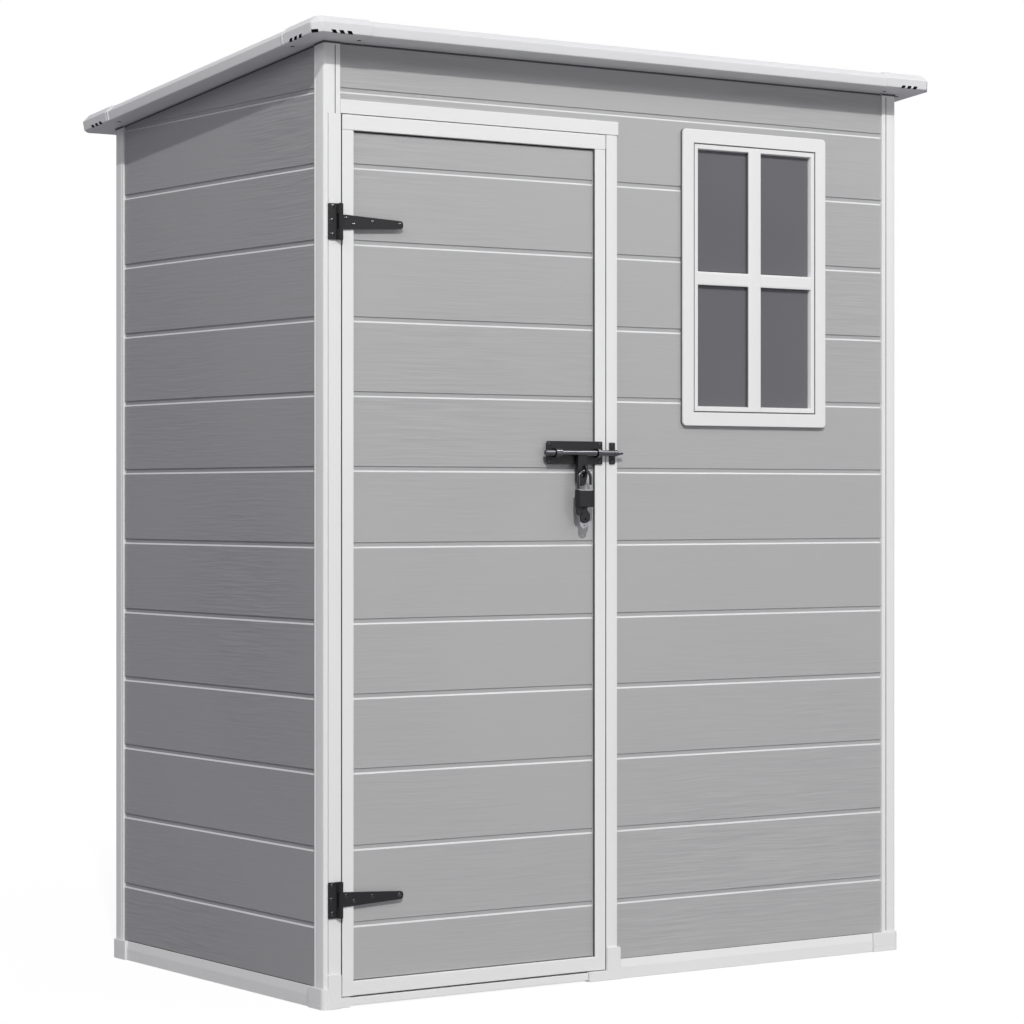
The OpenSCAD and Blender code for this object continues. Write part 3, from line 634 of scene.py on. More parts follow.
def makeWindow():
    # the surround has a flange, a fine groove and a bead that stands beside the glass
    sizes = windowSizes
    low, high = windowLow, windowHigh
    front, back = low[1], high[1]
    flange = sizes["flange"]
    glass = flange + sizes["bead"]
    wallFace = front + sizes["proud"]
    inner = flange - sizes["bead"] + seam
    groove = front + sizes["grooveDeep"]
    section = rounded(
        [(0, wallFace - seam), (0, front), (flange - 1.8, front), (flange - 1.0, groove),
         (flange + 0.6, groove), (flange + 1.3, front + 0.9), (glass - 1.6, front + 1.3),
         (glass, front + sizes["glassDeep"]), (glass, back), (inner, back),
         (inner, wallFace - seam)],
        [0.2, sizes["edgeRound"], 0.5, 0.3, 0.3, 0.5, 1.2, 0.6, 0.4, 0.4, 0.2])
    parts = [(framed(low, high, *section.T), whiteResin)]
    # painted shade: dark strips run round behind the flange's edge and in the groove, and along
    # the upright bar, where shade falls
    line = rounded([(flange - 0.9, groove + 0.2), (flange - 0.9, front + 0.7),
                    (flange + 0.4, front + 0.7), (flange + 0.4, groove + 0.2)], 0.1, steps=3)
    parts.append((framed(low, high, *line.T), paintedSeamShade))
    out, deep = sizes["shadeLineOut"], sizes["shadeLineDeep"]
    section = rounded([(-out, wallFace - 0.1), (-out, wallFace - deep), (0.4, wallFace - deep),
                       (0.4, wallFace - 0.1)], 0.15, steps=3)
    parts.append((framed(low, high, *section.T), paintedSeamShade))
    # the upright bar runs in front of the level ones
    deep = back - 0.3
    width = sizes["mullion"] / 2
    centre = (low[0] + high[0]) / 2 - sizes["mullionLeft"]
    bar = barSection(centre, width, front + sizes["mullionFace"], deep)
    lowEnd, highEnd = low[2] + flange + 3, high[2] - flange - 3
    parts.append((prism(bar, lowEnd, highEnd, "z", 0.2), whiteResin))
    for side in (-1, 1):
        x = centre + side * (width + 0.1)
        strip = slab((x - 0.3, front + 4.5, lowEnd), (x + 0.3, deep, highEnd), "z", 0.2, 0.1)
        parts.append((strip, paintedSeamShade))
    level = low[2] + sizes["transomUp"]
    bar = barSection(level, sizes["transom"] / 2, front + sizes["transomFace"], deep)[:, ::-1]
    for start, end in ((low[0] + flange + 3, centre - width + 0.6),
                       (centre + width - 0.6, high[0] - flange - 3)):
        parts.append((prism(bar, start, end, "x", 0.2), whiteResin))
    makePiece("windowFrame", parts, "shed", ["window_frame"])


makeWindow()
dressNode("window_panes", smokedGlazing)
print("window ready")


# Posts

posts = {
    "width": 40.0, "sideWidth": 36.5, "thick": 27.0, "round": 5.0, "grooveAt": 28.0,
    "grooveWide": 2.0, "grooveDeep": 0.8, "stripAt": 10.8, "stripDeep": 0.3, "lipWide": 3.4,
    "lipDeep": 0.9, "lipFrom": 28.5, "doorSide": 42.0, "grooveUp": 46.0, "stripUp": 72.0,
    "grooveDown": 8.0,
}


def postOutline(width, groove, strip, line):
    # Plan of a corner post with its outer corner at the origin. groove is the depth of the
    # upright groove in its front leg, strip how far that leg's inner part is set back, and line
    # the depth of the fine groove where the inner part starts.
    p = posts
    a, w, b = p["grooveAt"], p["grooveWide"] / 2, p["stripAt"]
    plan = [
        (0, 0), (b, 0), (b + 0.4, line), (b + 1.0, line + 0.01), (b + 1.6, strip), (a - w, strip),
        (a - w / 2, strip + groove), (a + w / 2, strip + groove), (a + w, strip),
        (width, strip), (width, p["thick"]), (p["thick"], p["thick"]),
        (p["thick"], p["sideWidth"]), (0, p["sideWidth"]),
        (0, p["sideWidth"] - p["lipWide"]), (p["lipDeep"], p["sideWidth"] - p["lipWide"] - 0.8),
        (p["lipDeep"], p["lipFrom"]), (0.05, p["lipFrom"] - 1)]
    radii = [p["round"]] + [0.15] * 4 + [0.2] * 4 + [1.0, 0.6, 0.6, 0.6, 1.0, 0.4, 0.3, 0.3, 0.3]
    return rounded(plan, radii, steps=3)


def makePost(name, node, right, back, changeAt=None):
    # A post stands from its foot to the roof: its top ring follows the roof's slope. The post
    # beside the door has its set-back strip up to the header and its groove above.
    bottom = boxOf(node)[0][2]
    p = posts
    plain = postOutline(p["width"], p["grooveDeep"], 0.05, 0.06)
    flats, levels = [plain, plain], [bottom, shed["frontHigh"]]
    if changeAt:
        strip = postOutline(p["doorSide"], 0.02, p["stripDeep"], 1.3)
        flats = [strip, strip, plain, plain]
        levels = [bottom, changeAt, changeAt + 1, shed["frontHigh"]]
    shape = loft(stood("z", np.stack(flats), np.array(levels)[:, None]))
    # painted shade: dark strips on the grooves' floors and in the gap under the roof
    top, a, b = shed["frontHigh"], p["grooveAt"], p["stripAt"]
    start = changeAt or p["grooveUp"]
    lines = [slab((a - 0.95, 0.3, start), (a + 0.95, 1.4, top - p["grooveDown"]), "z", 0.1, 0.05)]
    if changeAt:
        lines.append(slab((b + 0.35, 0.45, p["stripUp"]), (b + 1.05, 1.4, changeAt), "z", 0.1,
                          0.05))
    plan = [(-0.3, -0.3), (p["width"], -0.3), (p["width"], 1), (1, 1), (1, p["sideWidth"]),
            (-0.3, p["sideWidth"])]
    lines.append(prism(plan, top - planks["eaveLine"], top - 0.1, "z", 0.1))
    if back:
        # set under the roof's lower end
        groove = lines[0][0]
        groove[:, 2] = np.minimum(groove[:, 2], roofUnder(shed["depth"]) - p["grooveDown"])
    eave = lines[-1][0]
    eave[:, 2] += roofUnder(abs(back * shed["depth"] - eave[:, 1])) - top
    shapes = atCorner([shape] + lines, right, back)
    points = shapes[0][0]
    upper = points[:, 2] == top
    points[upper, 2] = roofUnder(points[upper, 1])
    finishes = [whiteResin, paintedGapShade] + [paintedSeamShade] * (len(lines) - 1)
    parts = list(zip(shapes, finishes))
    makePiece(name, parts, "shed", [node], crease=40)


headerLow, headerHigh = boxOf("door_header")
doorwayTop = boxOf("door_post")[1][2]
for label, ending, right, back in corners:
    byDoor = label == "FrontLeft"
    makePost("post" + label, "post_" + ending, right, back, doorwayTop if byDoor else None)

doorGaps = {
    "stop": 6.0, "doorPostWide": 28.6, "headerProud": 1.6, "headerRise": 1.0, "headerLip": 2.2,
    "doorShadeLine": 0.5,
}


def makeDoorPost():
    # plan of the post beside the door, with the stop behind the door's edge
    low, high = boxOf("door_post")
    face = high[0] - doorGaps["doorPostWide"]
    stop = high[1] - doorGaps["stop"]
    outline = rounded([(face, low[1]), (high[0], low[1]), (high[0], high[1]), (low[0], high[1]),
                       (low[0], stop), (face, stop)], [1.2, 1.6, 0.8, 1.5, 1.5, 0.8])
    post = prism(outline, low[2], high[2] + doorGaps["headerRise"], "z", 0.4)
    # painted shade: a dark strip on the side beside the door, for the shade in the gap
    doorShadeLine = slab((face - doorGaps["doorShadeLine"], low[1] + 1.3, low[2] + 1),
                  (face + 0.3, stop - 0.2, high[2] - 1), "z", 0.2, 0.1)
    makePiece("doorPost", [(post, whiteResin), (doorShadeLine, paintedSeamShade)], "shed",
              ["door_post"])


def makeHeader():
    # The header's beam, whose front laps a little over the wall above and past the post below,
    # and the stop behind the door's top edge.
    low, high = headerLow, headerHigh
    face = -doorGaps["headerProud"]
    postEnd = boxOf("door_post")[1][0]
    bottom = doorwayTop + doorGaps["headerRise"] + seam
    top = high[2] + doorGaps["headerLip"]
    stop = high[1] - doorGaps["stop"]
    beam = rounded([(face, bottom), (high[1], bottom), (high[1], high[2]), (3.7, high[2]),
                    (3.7, top), (face, top)], [1.0, 0.9, 0.9, 0.3, 0.6, 1.2])
    lap = rounded([(face, bottom), (3.7, bottom), (3.7, top), (face, top)], [1.0, 1.0, 1.0, 1.2])
    parts = [(prism(beam, low[0], postEnd, "x", 0.3), whiteResin),
             (prism(lap, postEnd - 1, high[0], "x", 0.8), whiteResin)]
    stopEnd = boxOf("door_post")[0][0] - seam
    parts.append((slab((low[0], stop, low[2]), (stopEnd, high[1], bottom + 4), "x", 1.2, 0.4),
                  whiteResin))
    makePiece("doorHeader", parts, "shed", ["door_header"])


makeDoorPost()
makeHeader()
print("posts ready")


# Door

doorSizes = {
    "stile": 27.0, "latchFrom": 22.8, "latchTo": 5.2, "topRail": 31.4, "bottomRail": 29.6,
    "round": 1.6, "joint": 0.35, "rise": 4.9, "drop": 3.2,
}


def makeDoorFrame():
    # two stiles between a top rail that runs over them and a bottom rail between them
    low, high = boxOf("door_frame")
    panelFace = boxOf("door_panel")[0][1]
    d = doorSizes
    inner = low[0] + d["stile"]
    outer, end = high[0] - d["latchFrom"], high[0] + d["latchTo"]
    top, bottom = high[2] + d["rise"], low[2] - d["drop"]
    under, over = top - d["topRail"], bottom + d["bottomRail"]
    front, back = low[1], high[1]
    bars = [((low[0], front, under), (end, back, top), "x"),
            ((low[0], front, bottom), (inner, back, under - d["joint"]), "z"),
            ((outer, front, bottom), (end, back, under - d["joint"]), "z"),
            ((inner - 2, front + 0.1, bottom), (outer + 2, back, over), "x")]
    parts = [(slab(a, b, axis, d["round"], 0.6 if axis == "x" else 0.5), whiteResin)
             for a, b, axis in bars]
    # painted shade: dark lines where the panel meets the rails and the latch stile, and down the
    # hinge edge, for the shade in those joints
    face = panelFace - 0.5
    lines = [((inner, face, under - 0.3), (outer, panelFace + 0.2, under + 0.3), "x"),
             ((inner, face, over - 0.3), (outer, panelFace + 0.2, over + 0.5), "x"),
             ((outer - 0.15, front + 1.0, over), (outer + 0.3, panelFace + 0.2, under), "z"),
             ((low[0] - 0.3, front + 1.6, bottom + 1), (low[0] + 0.3, back - 1, top - 1), "z")]
    parts += [(slab(a, b, axis, 0.12, 0.1), paintedSeamShade) for a, b, axis in lines]
    makePiece("doorFrame", parts, "door", ["door_frame"])


makeDoorFrame()
print("door ready")


# Base

base = {
    "skirtHigh": 42.2, "seat": 12.0, "chamfer": 18.0, "skirtWide": 34.0, "lip": 3.8,
    "footProud": 4.5, "footRound": 9.0, "bootHigh": 70.0, "bootFrom": 10.0, "sillUp": 3.0,
    "sillDown": 1.6, "sillEnd": 24.0,
}


def skirtSection():
    # section of a skirt, outer face at 0: face, chamfer, lip in front of the wall, ledge
    b = base
    lip = b["lip"]
    face = b["skirtHigh"] - b["chamfer"]
    return rounded([(0, 0), (b["skirtWide"], 0), (b["skirtWide"], b["seat"]), (lip, b["seat"]),
                    (lip, b["skirtHigh"]), (lip - 1.4, b["skirtHigh"]), (0, face)],
                   [0.8, 0.6, 0.6, 0.6, 0.6, 0.6, 1.4])


def makeSkirts():
    # the skirts' section carried along each side, the right one mirrored from the left
    section = skirtSection()
    frontLow, frontHigh = boxOf("base_front")
    backLow, backHigh = boxOf("base_back")
    sideLow, sideHigh = boxOf("base_left")
    front = prism(section, frontLow[0], frontHigh[0] - 0.6, "x", 0.5)
    back = mirrored(prism(section, backLow[0], backHigh[0], "x", 0.5), 1, shed["depth"])
    left = prism(section, sideLow[1], sideHigh[1], "y", 0.5)
    # painted shade: a dark line between each skirt and its wall, for the shade in the joint
    near, far = base["lip"] - 0.4, base["lip"] + 0.3
    low, high = base["skirtHigh"] - 0.6, base["skirtHigh"] + 0.8
    frontLine = slab((frontLow[0], near, low), (frontHigh[0], far, high), "x", 0.1, 0.05)
    backLine = slab((backLow[0], near, low), (backHigh[0], far, high), "x", 0.1, 0.05)
    leftLine = slab((near, sideLow[1], low), (far, sideHigh[1], high + 0.4), "y", 0.1, 0.05)
    for name, node, shape, line in (
            ("skirtFront", "base_front", front, frontLine),
            ("skirtBack", "base_back", back, mirrored(backLine, 1, shed["depth"])),
            ("skirtLeft", "base_left", left, leftLine),
            ("skirtRight", "base_right", mirrored(left, 0, shed["width"]),
             mirrored(leftLine, 0, shed["width"]))):
        makePiece(name, [(shape, whiteResin), (line, paintedGapShade)], "shed", [node])


def makeSill():
    # the sill's front stands a little off the ground past the boot
    low, high = boxOf("door_sill")
    start = low[0] + base["sillEnd"]
    parts = [
        (slab(low, (start, high[1], high[2]), "x", 1.0, 0.2), whiteResin),
        (slab((start - 0.1, low[1], low[2] + base["sillUp"]),
              (high[0] - 0.8, high[1], high[2] - base["sillDown"]), "x", 1.2, 0.5), whiteResin)]
    makePiece("doorSill", parts, "shed", ["door_sill"])


def footPlan(frontLong, sideLong, arm):
    # L-shaped plan with its rounded outer corner at minus proud
    p = base["footProud"]
    return rounded([(-p, -p), (frontLong, -p), (frontLong, arm), (arm, arm), (arm, sideLong),
                    (-p, sideLong)], [base["footRound"], 1.2, 0.6, 0.6, 0.6, 1.2], steps=5)


def footRim(frontLong, sideLong):
    # The rim's plan: outside as the foot, inside round the post and past it up to the walls.
    # An arm no longer than the post has no step up to the wall.
    p = base["footProud"]
    w, d, g = posts["width"] + seam, posts["sideWidth"] + seam, base["lip"]
    inner = [(-seam, d), (-seam, -seam), (w, -seam)]
    frontEnd = [(w, g), (frontLong, g)] if frontLong > w + 1 else []
    start = [(-p, -p), (max(frontLong, w), -p)]
    plan = start + frontEnd[::-1] + inner[::-1] + [(g, d), (g, sideLong), (-p, sideLong)]
    radii = [base["footRound"]] + [1.2] * (1 + len(frontEnd)) + [1.2, posts["round"], 0.3, 1.2,
                                                                 1.2, 1.2]
    return rounded(plan, radii, steps=5)


def makeFoot(name, node, right, back, boot):
    # a plinth under the post, a rim round it and, for the boot, a plate up the post's front
    low, high = boxOf(node)
    frontLong = high[0] if not right else shed["width"] - low[0]
    sideLong = high[1] if not back else shed["depth"] - low[1]
    shapes = [prism(footPlan(frontLong, sideLong, base["skirtWide"]), 0, base["seat"], "z", 0.6),
              prism(footRim(frontLong, sideLong), base["seat"] - 0.2, base["skirtHigh"], "z", 1.1)]
    if boot:
        plate = rounded([(base["bootFrom"], 0.3), (frontLong + 0.2, 0.3),
                         (frontLong + 0.2, base["bootHigh"]), (base["bootFrom"], base["bootHigh"])],
                        [1.2, 1.2, 3.5, 5.0], steps=5)
        shapes.append(prism(plate, -base["footProud"] - 0.8, -seam, "y", 1.0))
    parts = [(shape, whiteResin) for shape in atCorner(shapes, right, back)]
    makePiece(name, parts, "shed", [node])


def makeDoorPostFoot():
    # a boot over the door post's foot, its plinth, and the tongue under the door
    low, high = boxOf("foot_door_post")
    p = base["footProud"]
    postEnd = boxOf("door_post")[1][0]
    inner = postEnd - doorGaps["doorPostWide"]
    floorTop = boxOf("door_sill")[1][2]
    boot = rounded([(low[0], 0.0), (high[0], 0.0), (high[0], 34.0),
                    (high[0] - 1.6, 42.0), (high[0] - 1.6, base["bootHigh"]),
                    (inner, base["bootHigh"]),
                    (inner, floorTop), (low[0], floorTop)],
                   [1.6, 1.6, 3.0, 3.0, 4.5, 1.6, 0.8, 1.6], steps=5)
    shapes = [prism(boot, -p, -seam, "y", 1.3),
              slab((inner, -0.6, 0), (high[0], base["skirtWide"], base["seat"]), "z", 0.8, 0.5),
              slab((low[0], -0.6, 0), (postEnd, base["skirtWide"], floorTop), "z", 0.8, 0.6)]
    makePiece("footDoorPost", [(shape, whiteResin) for shape in shapes], "shed",
              ["foot_door_post"])


makeSkirts()
makeSill()
for label, ending, right, back in corners:
    makeFoot("foot" + label, "foot_" + ending, right, back, boot=label == "FrontLeft")
makeDoorPostFoot()
print("base ready")


# Roof
# The roof's shapes are drawn flat about the middle of its underside, then tilted.

roof = {
    "eavesFront": 65.0, "eavesBack": 65.0, "eavesSide": 58.0, "fascia": 21.0, "bevel": 15.0,
    "trim": 58.0, "cap": 138.0, "proud": 2.0, "cut": 18.0, "bendRound": 10.0, "softEdge": 2.6,
    "lean": 2.6, "slotLong": 11.0, "slotPitch": 18.4, "sideSlots": 52.5, "frontSlots": 36.5,
    "rightSlots": 44.0, "rightPitch": 17.3, "slotSkew": 6.0, "slotDeep": 9.0, "slotUp": 6.2,
    # a groove runs round a cap near its end, at these distances from the end
    "endAt": (0, 2.0, 7.0, 7.8, 9.0, 11.4), "sideEndIn": (2.0, 0, 0, 1.8, 1.8, 0),
    "frontEndIn": (1.8, 0, 0, 0.1, 0.1, 0),
    # where the caps' screws are, in from the nearest corner of the walls
    "roof_cap_front_left": ((71.5, -20.1), (-30.0, 71.2)),
    "roof_cap_front_right": ((49.6, -19.3), (-18.0, 15.7)),
    "roof_cap_back_left": ((71.5, -20.1), (-27.7, 71.2)),
    "roof_cap_back_right": ((71.5, -20.1), (-27.7, 71.2)),
}
halfWide = shed["width"] / 2 + roof["eavesSide"]
halfLong = (shed["depth"] + roof["eavesFront"] + roof["eavesBack"]
            - roof["fascia"] * math.sin(roofPitch)) / 2 / math.cos(roofPitch)
roofMiddle = (roof["eavesBack"] - roof["eavesFront"] - roof["fascia"] * math.sin(roofPitch)) / 2


def tilted(points):
    # turns flat roof points down the slope and sets them on the walls
    x, y, z = np.moveaxis(points, -1, 0)
    up = shed["frontHigh"] - shed["roofFall"] * (0.5 + roofMiddle / shed["depth"])
    c, s = math.cos(roofPitch), math.sin(roofPitch)
    return np.stack([x + shed["width"] / 2, y * c + z * s + shed["depth"] / 2 + roofMiddle,
                     z * c - y * s + up], -1)


def edgeSection(back):
    # Section of the roof's edge as (inset, height), going round from the underside. back is how
    # far the whole outer surface lies inside the roof's form.
    r = roof
    top = r["fascia"] + r["bevel"] - back
    form = [(back + r["lean"], 0), (back, r["fascia"] - back * 0.4), (back + r["bevel"], top),
            (r["trim"], top), (r["trim"], 0)]
    soft = r["softEdge"]
    outline = rounded(form, [soft, soft, soft, 2.4, 2.4], steps=5)
    first = int(np.argmax(outline[:, 1] > r["slotUp"]))
    outline = np.insert(outline, first, [back + r["lean"] * 0.7, r["slotUp"]], axis=0)
    return np.vstack([outline, [[back + r["lean"] + 9.5, 0]]])


def makeTrim(name, node, across, far):
    # a straight trim between two corner caps
    section = edgeSection(roof["proud"])
    end = (halfWide if across else halfLong) - roof["cap"] + 0.6
    flat = drawnIn(section, [0.6, 0.0, 0.0, 0.6])
    along = np.array([-end, -end + 0.6, end - 0.6, end])[:, None] + 0 * flat[..., 0]
    if across:
        rings = np.stack([along, -halfLong + flat[..., 0], flat[..., 1]], -1)
        rings[..., 1] *= -1 if far else 1
    else:
        rings = np.stack([-halfWide + flat[..., 0], along, flat[..., 1]], -1)
        rings[..., 0] *= -1 if far else 1
    makePiece(name, [(loft(tilted(rings)), shadedRoofResin)], "shed", [node])


def capGrid(flat, columns, section):
    # The section carried round the roof's corner. For a point at inset d each bend is an arc of
    # radius max(R - d, 0) about a centre at inset D = max(d, R) from both sides it joins, and the
    # cut corner has shrunk to nothing where cut + 0.414 D < D. Columns are (kind, value):
    # left and front are distances from the sharp corner, bends an angle, cut a share.
    d, h = flat[..., 0], flat[..., 1]
    big = np.maximum(d, roof["bendRound"])
    arc = np.maximum(roof["bendRound"] - d, 0)
    far = np.maximum(roof["cut"] + (math.sqrt(2) - 1) * big, big)
    x, y = np.empty_like(d), np.empty_like(d)
    skew = roof["slotSkew"] * np.clip(1 - section[:, 1] / 9, 0, 1)
    for number, (kind, value) in enumerate(columns):
        a, b, g, e = arc[number], far[number], big[number], d[number]
        if kind == "left":
            x[number], y[number] = e, np.maximum(value + skew * (value < roof["cap"] - 12), b)
        elif kind == "front":
            x[number], y[number] = np.maximum(value + skew * (value < roof["cap"] - 12), b), e
        elif kind == "leftBend":
            x[number], y[number] = g - a * math.cos(value), b - a * math.sin(value)
        elif kind == "frontBend":
            x[number], y[number] = b - a * math.cos(value), g - a * math.sin(value)
        else:
            c = math.cos(math.pi / 4)
            x[number] = (1 - value) * (g - a * c) + value * (b - a * c)
            y[number] = (1 - value) * (b - a * c) + value * (g - a * c)
    return np.stack([x - halfWide, y - halfLong, h], -1)


def makeCap(name, node, right, back):
    # A corner cap: three slots along each side and one across the corner open under its lower
    # edge, and a groove runs round it just inside each end.
    r = roof
    three = np.arange(3)[:, None]
    side = r["sideSlots"] + r["slotPitch"] * three
    front = r["frontSlots"] + r["slotPitch"] * three
    if right:
        front = r["rightSlots"] + r["rightPitch"] * three
    sideEdges, frontEdges = [(v + [0, r["slotLong"]]).ravel() for v in (side, front)]
    ends = r["cap"] - np.array(r["endAt"])
    bend = np.linspace(0, math.pi / 4, 5)
    columns = [("left", v) for v in ends] + [("left", v) for v in sideEdges[::-1]]
    columns += [("leftBend", v) for v in bend] + [("cut", 0.66)]
    columns += [("frontBend", v) for v in bend + math.pi / 4]
    columns += [("front", v) for v in frontEdges] + [("front", v) for v in ends[::-1]]
    # 1 where a slot lies between a column and the next one, in the same order
    opens = [0] * 6 + [1, 0] * 3 + [0, 0, 1, 1, 1] + [0] + [0] * 5 + [1, 0] * 3 + [0] * 6
    section = edgeSection(0.0)
    inset = np.zeros(len(columns))
    inset[:6] = r["sideEndIn"]
    inset[-6:] = r["frontEndIn"][::-1]
    grid = capGrid(drawnIn(section, inset), columns, section)
    inner = grid + [r["slotDeep"] * 0.7, r["slotDeep"] * 0.7, r["slotDeep"]]
    cols, rows = grid.shape[:2]
    number = np.arange(cols * rows).reshape(cols, rows)
    # the slots cover the rounded lower edge, a little of the face and the first stretch inwards
    around = np.roll(np.arange(rows), -1)
    isLow = (section[:, 1] < r["slotUp"] + 0.1) & (section[:, 0] < 12)
    slots = np.array(opens[:-1], bool)[:, None] & (isLow & isLow[around])[None]
    behind = cols * rows
    outer, floors = [np.stack([number[i, j], number[i, around[j]], number[i + 1, around[j]],
                               number[i + 1, j]], 1)
                     for i, j in (np.nonzero(~slots), np.nonzero(slots))]
    rim = np.pad(slots, ((1, 1), (0, 0)))
    i, j = np.nonzero(rim[1:] != rim[:-1])
    sides = np.stack([number[i, j], number[i, around[j]]], 1)
    i, j = np.nonzero(slots != np.roll(slots, 1, 1))
    sides = np.vstack([sides, np.stack([number[i, j], number[i + 1, j]], 1)])
    walls = np.hstack([sides, sides[:, ::-1] + behind])
    closed = [number[0][None, ::-1], number[-1][None]]
    points = np.vstack([grid.reshape(-1, 3), inner.reshape(-1, 3)])
    points[:, 0] *= -1 if right else 1
    points[:, 1] *= -1 if back else 1
    points = tilted(points)
    # painted shade: the slots' floors and walls are near black, for the shade inside them
    parts = [((points, [outer] + closed), shadedRoofResin),
             ((points, [floors + behind, walls]), paintedGapShade)]
    # two screws hold the cap up to the walls; their heads are painted near black, as the shade
    # of holes in its underside
    for x, y in r[node]:
        x = shed["width"] - x if right else x
        y = shed["depth"] - y if back else y
        head = screwHead((x, y, roofUnder(y) + 0.3), "z", -1, 4.6, 0.9)
        parts.append((head, paintedGapShade))
    makePiece(name, parts, "shed", [node])


for label, across, far in (("Front", True, False), ("Back", True, True), ("Left", False, False),
                           ("Right", False, True)):
    makeTrim("roofTrim" + label, "roof_trim_" + label.lower(), across, far)
for label, ending, right, back in corners:
    makeCap("roofCap" + label, "roof_cap_" + ending, right, back)
dressNode("roof_panel", shadedRoofResin)
print("roof ready")


# Hinges

hinge = {
    "steel": 3.0, "pinOut": 6.0, "pinInset": 3.0, "barrel": 5.5, "pin": 2.5, "leafHigh": 73.0,
    "leafFrom": 10.0, "strapLong": 153.0, "rootHigh": 30.0, "tipHigh": 16.0, "screw": 4.2,
    "leafScrews": ((19.5, 30.5), (17.5, 2.0), (19.5, -26.5)),
    "strapScrews": ((14.7, 7.4), (33.6, -4.5), (77.8, 2.6), (143.0, 0.6)),
}


def curl(direction, flatTo):
    # Plan of a steel strip that curls round the pin at the origin: along the strip's face, round
    # the barrel's circle, and back along the strip. direction is -1 for the leaf, 1 for the strap.
    h = hinge
    r, t = h["barrel"], h["steel"]
    face = h["pinOut"] - t
    angle = np.linspace(math.pi / 2, math.asin(face / r) - math.pi, 22)
    barrel = r * np.stack([-direction * np.cos(angle), np.sin(angle)], 1)
    strip = np.array([(direction * flatTo, face), (direction * flatTo, h["pinOut"] - seam)])
    return np.vstack([barrel, strip])


def makeHinge(leafNode, strapNode, label):
    # a leaf with its pin on the post, and a strap on the door that tapers to a rounded tip
    h = hinge
    leafLow, leafHigh = boxOf(leafNode)
    pin = np.array([posts["width"] - h["pinInset"], -h["pinOut"], (leafLow[2] + leafHigh[2]) / 2])
    half = h["leafHigh"] / 2
    root = h["rootHigh"] / 2
    face = pin[1] + h["pinOut"] - h["steel"]
    plate = slab((h["leafFrom"], face, pin[2] - half), (pin[0] - 5.7, -seam, pin[2] + half), "y",
                 2.2, 0.7)
    parts = [(plate, blackSteel)]
    # the leaf's thin tail lies behind the barrel, a dark sheet put there to stand in for the shade
    # in the slit
    parts.append((slab((pin[0] - 8, -0.45, pin[2] - half + 1), (pin[0] + 3, -0.1, pin[2] + half - 1),
                       "z", 0.1, 0.05), blackSteel))
    outline = curl(-1, 8.5) + pin[:2]
    for low, high in ((-half, -root - 0.3), (root + 0.3, half)):
        parts.append((prism(outline, pin[2] + low, pin[2] + high, "z", 0.5), blackSteel))
    for low, high in ((-half - 1, -half + 2), (half - 2, half + 1)):
        parts.append((roundRod(h["pin"] + 0.9, low, high, pin, "z", 0.6, 20), blackSteel))
    for x, z in h["leafScrews"]:
        parts.append((screwHead((x, face, pin[2] + z), "y", -1, h["screw"]), blackenedSteel))
    makePiece("hingeLeaf" + label, parts, "shed", [leafNode])
    tip = h["tipHigh"] / 2
    end = h["strapLong"]
    outline = rounded([(4, -root), (12, -root), (end - 1, -tip), (end - 1, tip), (12, root),
                       (4, root)], [0.9, 6, tip - 0.6, tip - 0.6, 6, 0.9], steps=8)
    parts = [(prism(outline + pin[[0, 2]], face, -seam, "y", 0.7), blackSteel),
             (prism(curl(1, 5) + pin[:2], pin[2] - root, pin[2] + root, "z", 0.5), blackSteel)]
    for x, z in h["strapScrews"]:
        centre = (pin[0] + x, face, pin[2] + z)
        parts.append((screwHead(centre, "y", -1, h["screw"]), blackenedSteel))
    makePiece("hingeStrap" + label, parts, "door", [strapNode])


makeHinge("hinge_leaf_upper", "hinge_strap_upper", "Upper")
makeHinge("hinge_leaf_lower", "hinge_strap_lower", "Lower")
print("hinges ready")


# Bolt and padlock

bolt = {
    "rod": 6.5, "out": 11.5, "plateSteel": 3.0, "guideFit": 0.5, "guideWall": 2.5,
    "firstGuide": (18.0, 16.0), "secondGuide": (18.0, 8.0), "neck": 4.7, "neckLong": 26.0,
    "tip": 3.1, "tipLong": 11.0, "knobLong": 24.0, "screw": 3.8,
}
lock = {
    "thick": 19.0, "out": 18.0, "gap": 31.5, "wire": 6.5, "freeLeg": 14.0, "keyWide": 26.0,
    "keyThick": 6.0, "dip": 4.0, "blankRadius": 11.0, "blankDrop": 11.5, "flapWide": 17.0,
    "flapDrop": 18.0, "tabLow": 1054.0, "tabFace": -14.3,
    # outline of the block under the rod, from its lowest point
    "tab": ((-14, 14), (-8, 3), (-2, 0), (5, 2), (9.5, 18), (11.6, 36)),
}
rodLow, rodHigh = boxOf("bolt_rod")
plateLow, plateHigh = boxOf("bolt_plate")
keeperLow, keeperHigh = boxOf("bolt_keeper")
bodyLow, bodyHigh = boxOf("padlock_body")
shackleLow, shackleHigh = boxOf("padlock_shackle")
keyLow, keyHigh = boxOf("padlock_key")
rodLevel = rodHigh[2] - bolt["rod"]
lockMiddle = (bodyLow + bodyHigh) / 2


def guideLoop(start, end, inner, wall):
    # A strap over the rod: side, half circle of radius inner + wall and side on the outside, and
    # the same with radius inner within, carried along the rod.
    outer = inner + wall
    foot = -bolt["plateSteel"] + seam
    angle = np.linspace(0, math.pi, 17)
    over = np.stack([-bolt["out"] - outer * np.sin(angle), outer * np.cos(angle)], 1)
    under = np.stack([-bolt["out"] - inner * np.sin(angle), inner * np.cos(angle)], 1)[::-1]
    outline = np.vstack([[(foot, outer)], over, [(foot, -outer), (foot, -inner)], under,
                         [(foot, inner)]])
    outline[:, 1] += rodLevel
    return prism(outline, start, end, "x", 0.4)


